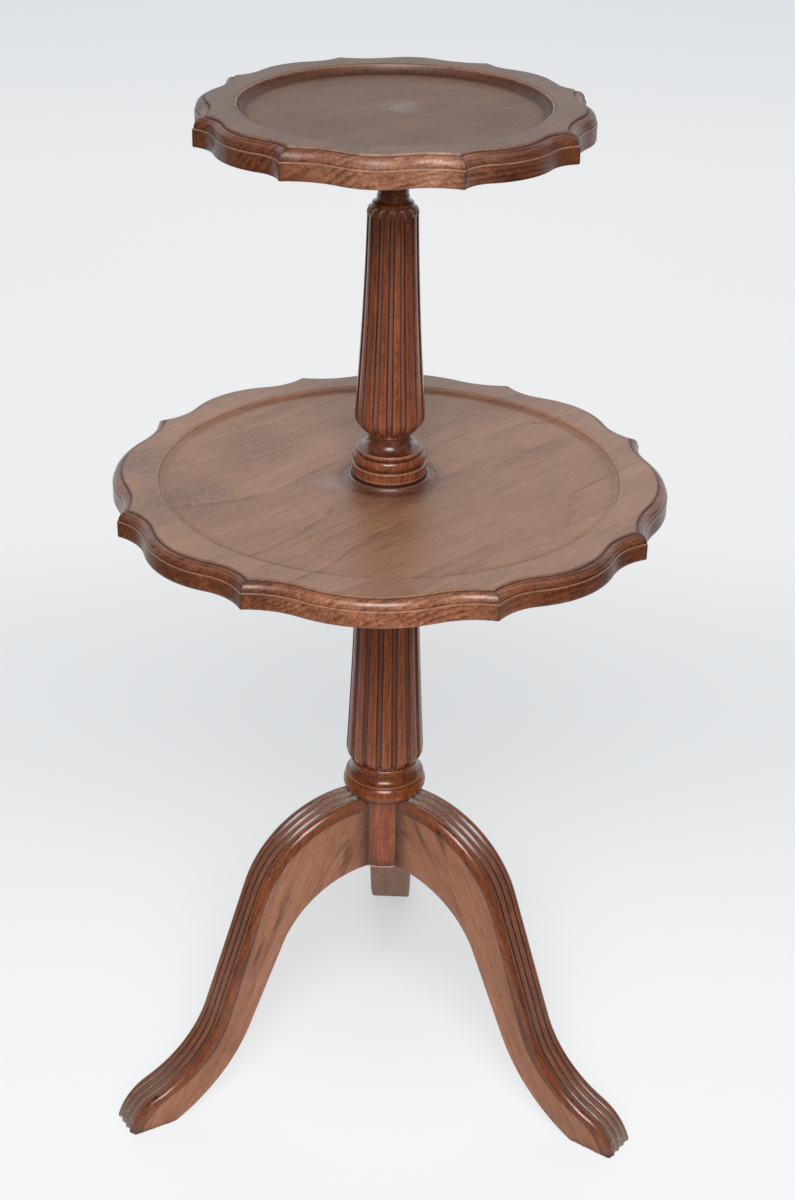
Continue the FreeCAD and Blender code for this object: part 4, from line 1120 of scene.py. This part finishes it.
# The hidden pieces keep their solids' shapes. The blocks' grain runs across the trays'.
lower_cross, upper_cross = (0.0, 0.0, GRAIN_PLAN + 1.57), (0.0, 0.0, GRAIN_PLAN + 1.4)
kept = {
    "lower_bearer_block": bare_wood("bearer_wood", lower_cross, (0.16, 0.075, 0.042)),
    "upper_bearer_block": bare_wood("upper_bearer_wood", upper_cross, (0.15, 0.07, 0.04)),
    "upper_tenon_wedge": bare_wood("wedge_wood", UPRIGHT, (0.22, 0.12, 0.07)),
    "tripod_plate": aged_metal("plate_iron", (0.10, 0.095, 0.09), (0.13, 0.055, 0.030), 0.42),
}
screw_steel = aged_metal("screw_steel", (0.36, 0.34, 0.31), (0.16, 0.07, 0.035), 0.34)
for node in ("lower_bearer_screws", "upper_bearer_screws", "tripod_plate_screws"):
    kept[node] = screw_steel
for node, material in kept.items():
    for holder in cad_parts[node].material_slots:
        holder.material = material


# ---- Floor, light and camera ----


# How much of the floor, seen straight on, is its own colour: under the table, and around it
FLOOR_GLOW = (0.50, 0.70)
FLOOR_FRONT, FLOOR_BACK, FLOOR_HALF_WIDTH = -3.5, 2.2, 5.0
WALL_BEND, WALL_TOP = 1.6, 5.0


def backdrop():
    """A pale floor that curves up into a wall behind the table.

    Seen straight on it is mostly its own pale colour, so the shadows on it stay light.
    """
    f = Finish("pale_floor")
    depth, glossy, straight = f.part(f.place, "Y"), f.ray("Is Glossy Ray"), f.ray("Is Camera Ray")
    # Its own colour: palest in front of the table, with a painted band of shade behind it, and
    # greyer on the wall
    around = f.distance(f.place, (0.05, -0.35, 0.0))
    seen = f.mix((0.98, 0.99, 1.0), (0.97, 0.985, 1.0), f.between(around, 0.25, 1.25))
    # The painted band of shade, across the floor behind the table
    dip = f.math("ABSOLUTE", depth - 0.62)
    seen = f.mix((0.71, 0.74, 0.765), seen, f.between(dip, 0.0, 0.62, 0.45, 1.0))
    seen = f.mix(seen, (0.87, 0.90, 0.93), f.between(f.part(f.place, "Z"), 0.0, 0.35))
    tint = f.mix(seen, (0.97, 0.98, 1.0), glossy)
    glow = f.node("Emission", None, {"Color": tint, "Strength": 1.0})
    # The lit part of it: what it throws back on the table, and what takes the shadows
    nearby = f.between(f.distance(f.place, (0.0, 0.25, 0.0)), 0.75, 1.10, 1.0, 0.0)
    bounce = f.mix((0.05, 0.05, 0.052), (0.80, 0.81, 0.82), nearby)
    pale = f.mix((0.40, 0.41, 0.42), (0.86, 0.87, 0.88), f.between(depth, -1.4, -0.5))
    lit = f.node("BsdfDiffuse", None, {"Color": f.mix(bounce, pale, straight)})
    under = f.distance(f.place, (0.0, 0.14, 0.0))
    own = straight * f.between(under, 0.05, 0.30, *FLOOR_GLOW)
    share = f.clamp(own + glossy * f.between(depth, 0.2, 1.3))
    both = f.node("MixShader", None, {0: share, 1: lit, 2: glow})
    f.node("OutputMaterial", None, {"Surface": both})
    bm = bmesh.new()
    points = [(FLOOR_FRONT, 0.0), (FLOOR_BACK, 0.0)]
    for k in range(1, 17):
        a = radians(90.0 * k / 16)
        points.append((FLOOR_BACK + WALL_BEND * sin(a), WALL_BEND * (1 - cos(a))))
    points.append((FLOOR_BACK + WALL_BEND, WALL_TOP))
    verts = [bm.verts.new((-FLOOR_HALF_WIDTH, y, z)) for y, z in points]
    edges = [bm.edges.new(pair) for pair in zip(verts, verts[1:])]
    far_side = verts_of(bmesh.ops.extrude_edge_only(bm, edges=edges)["geom"])
    bmesh.ops.translate(bm, vec=(2 * FLOOR_HALF_WIDTH, 0, 0), verts=far_side)
    bmesh.ops.recalc_face_normals(bm, faces=bm.faces)
    for face in bm.faces:
        face.smooth = True
    mesh = bpy.data.meshes.new("studio_floor")
    bm.to_mesh(mesh)
    bm.free()
    mesh.materials.append(f.material)
    floor = bpy.data.objects.new("studio_floor", mesh)
    bpy.context.scene.collection.objects.link(floor)


def lamp(name, place, target, size, share, mirrored=True):
    """A soft box that faces its target. It lights a white card there to share of full white.

    One that isn't mirrored lights the table but leaves no shine on it.
    """
    aim = Vector(target) - Vector(place)
    data = bpy.data.lights.new(name, "AREA")
    data.shape = "RECTANGLE"
    data.size, data.size_y = size
    data.energy = share * pi ** 2 * aim.length_squared
    lamp_object = bpy.data.objects.new(name, data)
    lamp_object.location = place
    lamp_object.rotation_euler = aim.to_track_quat("-Z", "Y").to_euler()
    lamp_object.visible_glossy = mirrored
    bpy.context.scene.collection.objects.link(lamp_object)


def studio():
    scene = bpy.context.scene
    scene.view_settings.view_transform = "Standard"
    world = bpy.data.worlds.new("studio_air")
    world.use_nodes = True
    air = world.node_tree
    background = air.nodes["Background"]
    background.inputs[1].default_value = 1.0
    rays, tint = air.nodes.new("ShaderNodeLightPath"), air.nodes.new("ShaderNodeMix")
    tint.data_type = "RGBA"
    tint.inputs[6].default_value = (0.15, 0.153, 0.158, 1.0)
    tint.inputs[7].default_value = (0.78, 0.81, 0.84, 1.0)
    air.links.new(rays.outputs["Is Camera Ray"], tint.inputs[0])
    air.links.new(tint.outputs[2], background.inputs[0])
    scene.world = world
    lamp("key_box", (0.0, -2.2, 2.6), (0, 0, 0.6), (1.5, 1.3), 0.80)
    lamp("front_box", (0.0, -3.0, 1.45), (0, 0, 0.5), (1.7, 1.1), 0.38, mirrored=False)
    lamp("rear_box", (0.0, 2.4, 2.2), (0, 0, 0.5), (3.0, 2.0), 0.34, mirrored=False)


def camera():
    """A long lens in front of the table and above it, looking down. pitch is below level."""
    pitch, yaw, roll = radians(27.91), radians(-0.17), radians(-0.81)
    level = cos(pitch)
    forward = Vector((sin(yaw) * level, cos(yaw) * level, -sin(pitch)))
    right = Vector((cos(yaw), -sin(yaw), 0.0))
    down = forward.cross(right)
    across = right * cos(roll) + down * sin(roll)
    lower = down * cos(roll) - right * sin(roll)
    data = bpy.data.cameras.new("camera")
    data.sensor_fit = "VERTICAL"
    data.sensor_height = 36.0  # millimetres, as the lens
    data.lens = 61.95
    data.shift_x = 0.0132
    data.clip_start = 0.05
    view = bpy.data.objects.new("camera", data)
    turned = Matrix((across, -lower, -forward)).transposed().to_4x4()
    view.matrix_world = Matrix.Translation((0.0, -1.5889, 1.3210)) @ turned
    bpy.context.scene.collection.objects.link(view)
    bpy.context.scene.camera = view


backdrop()
studio()
camera()
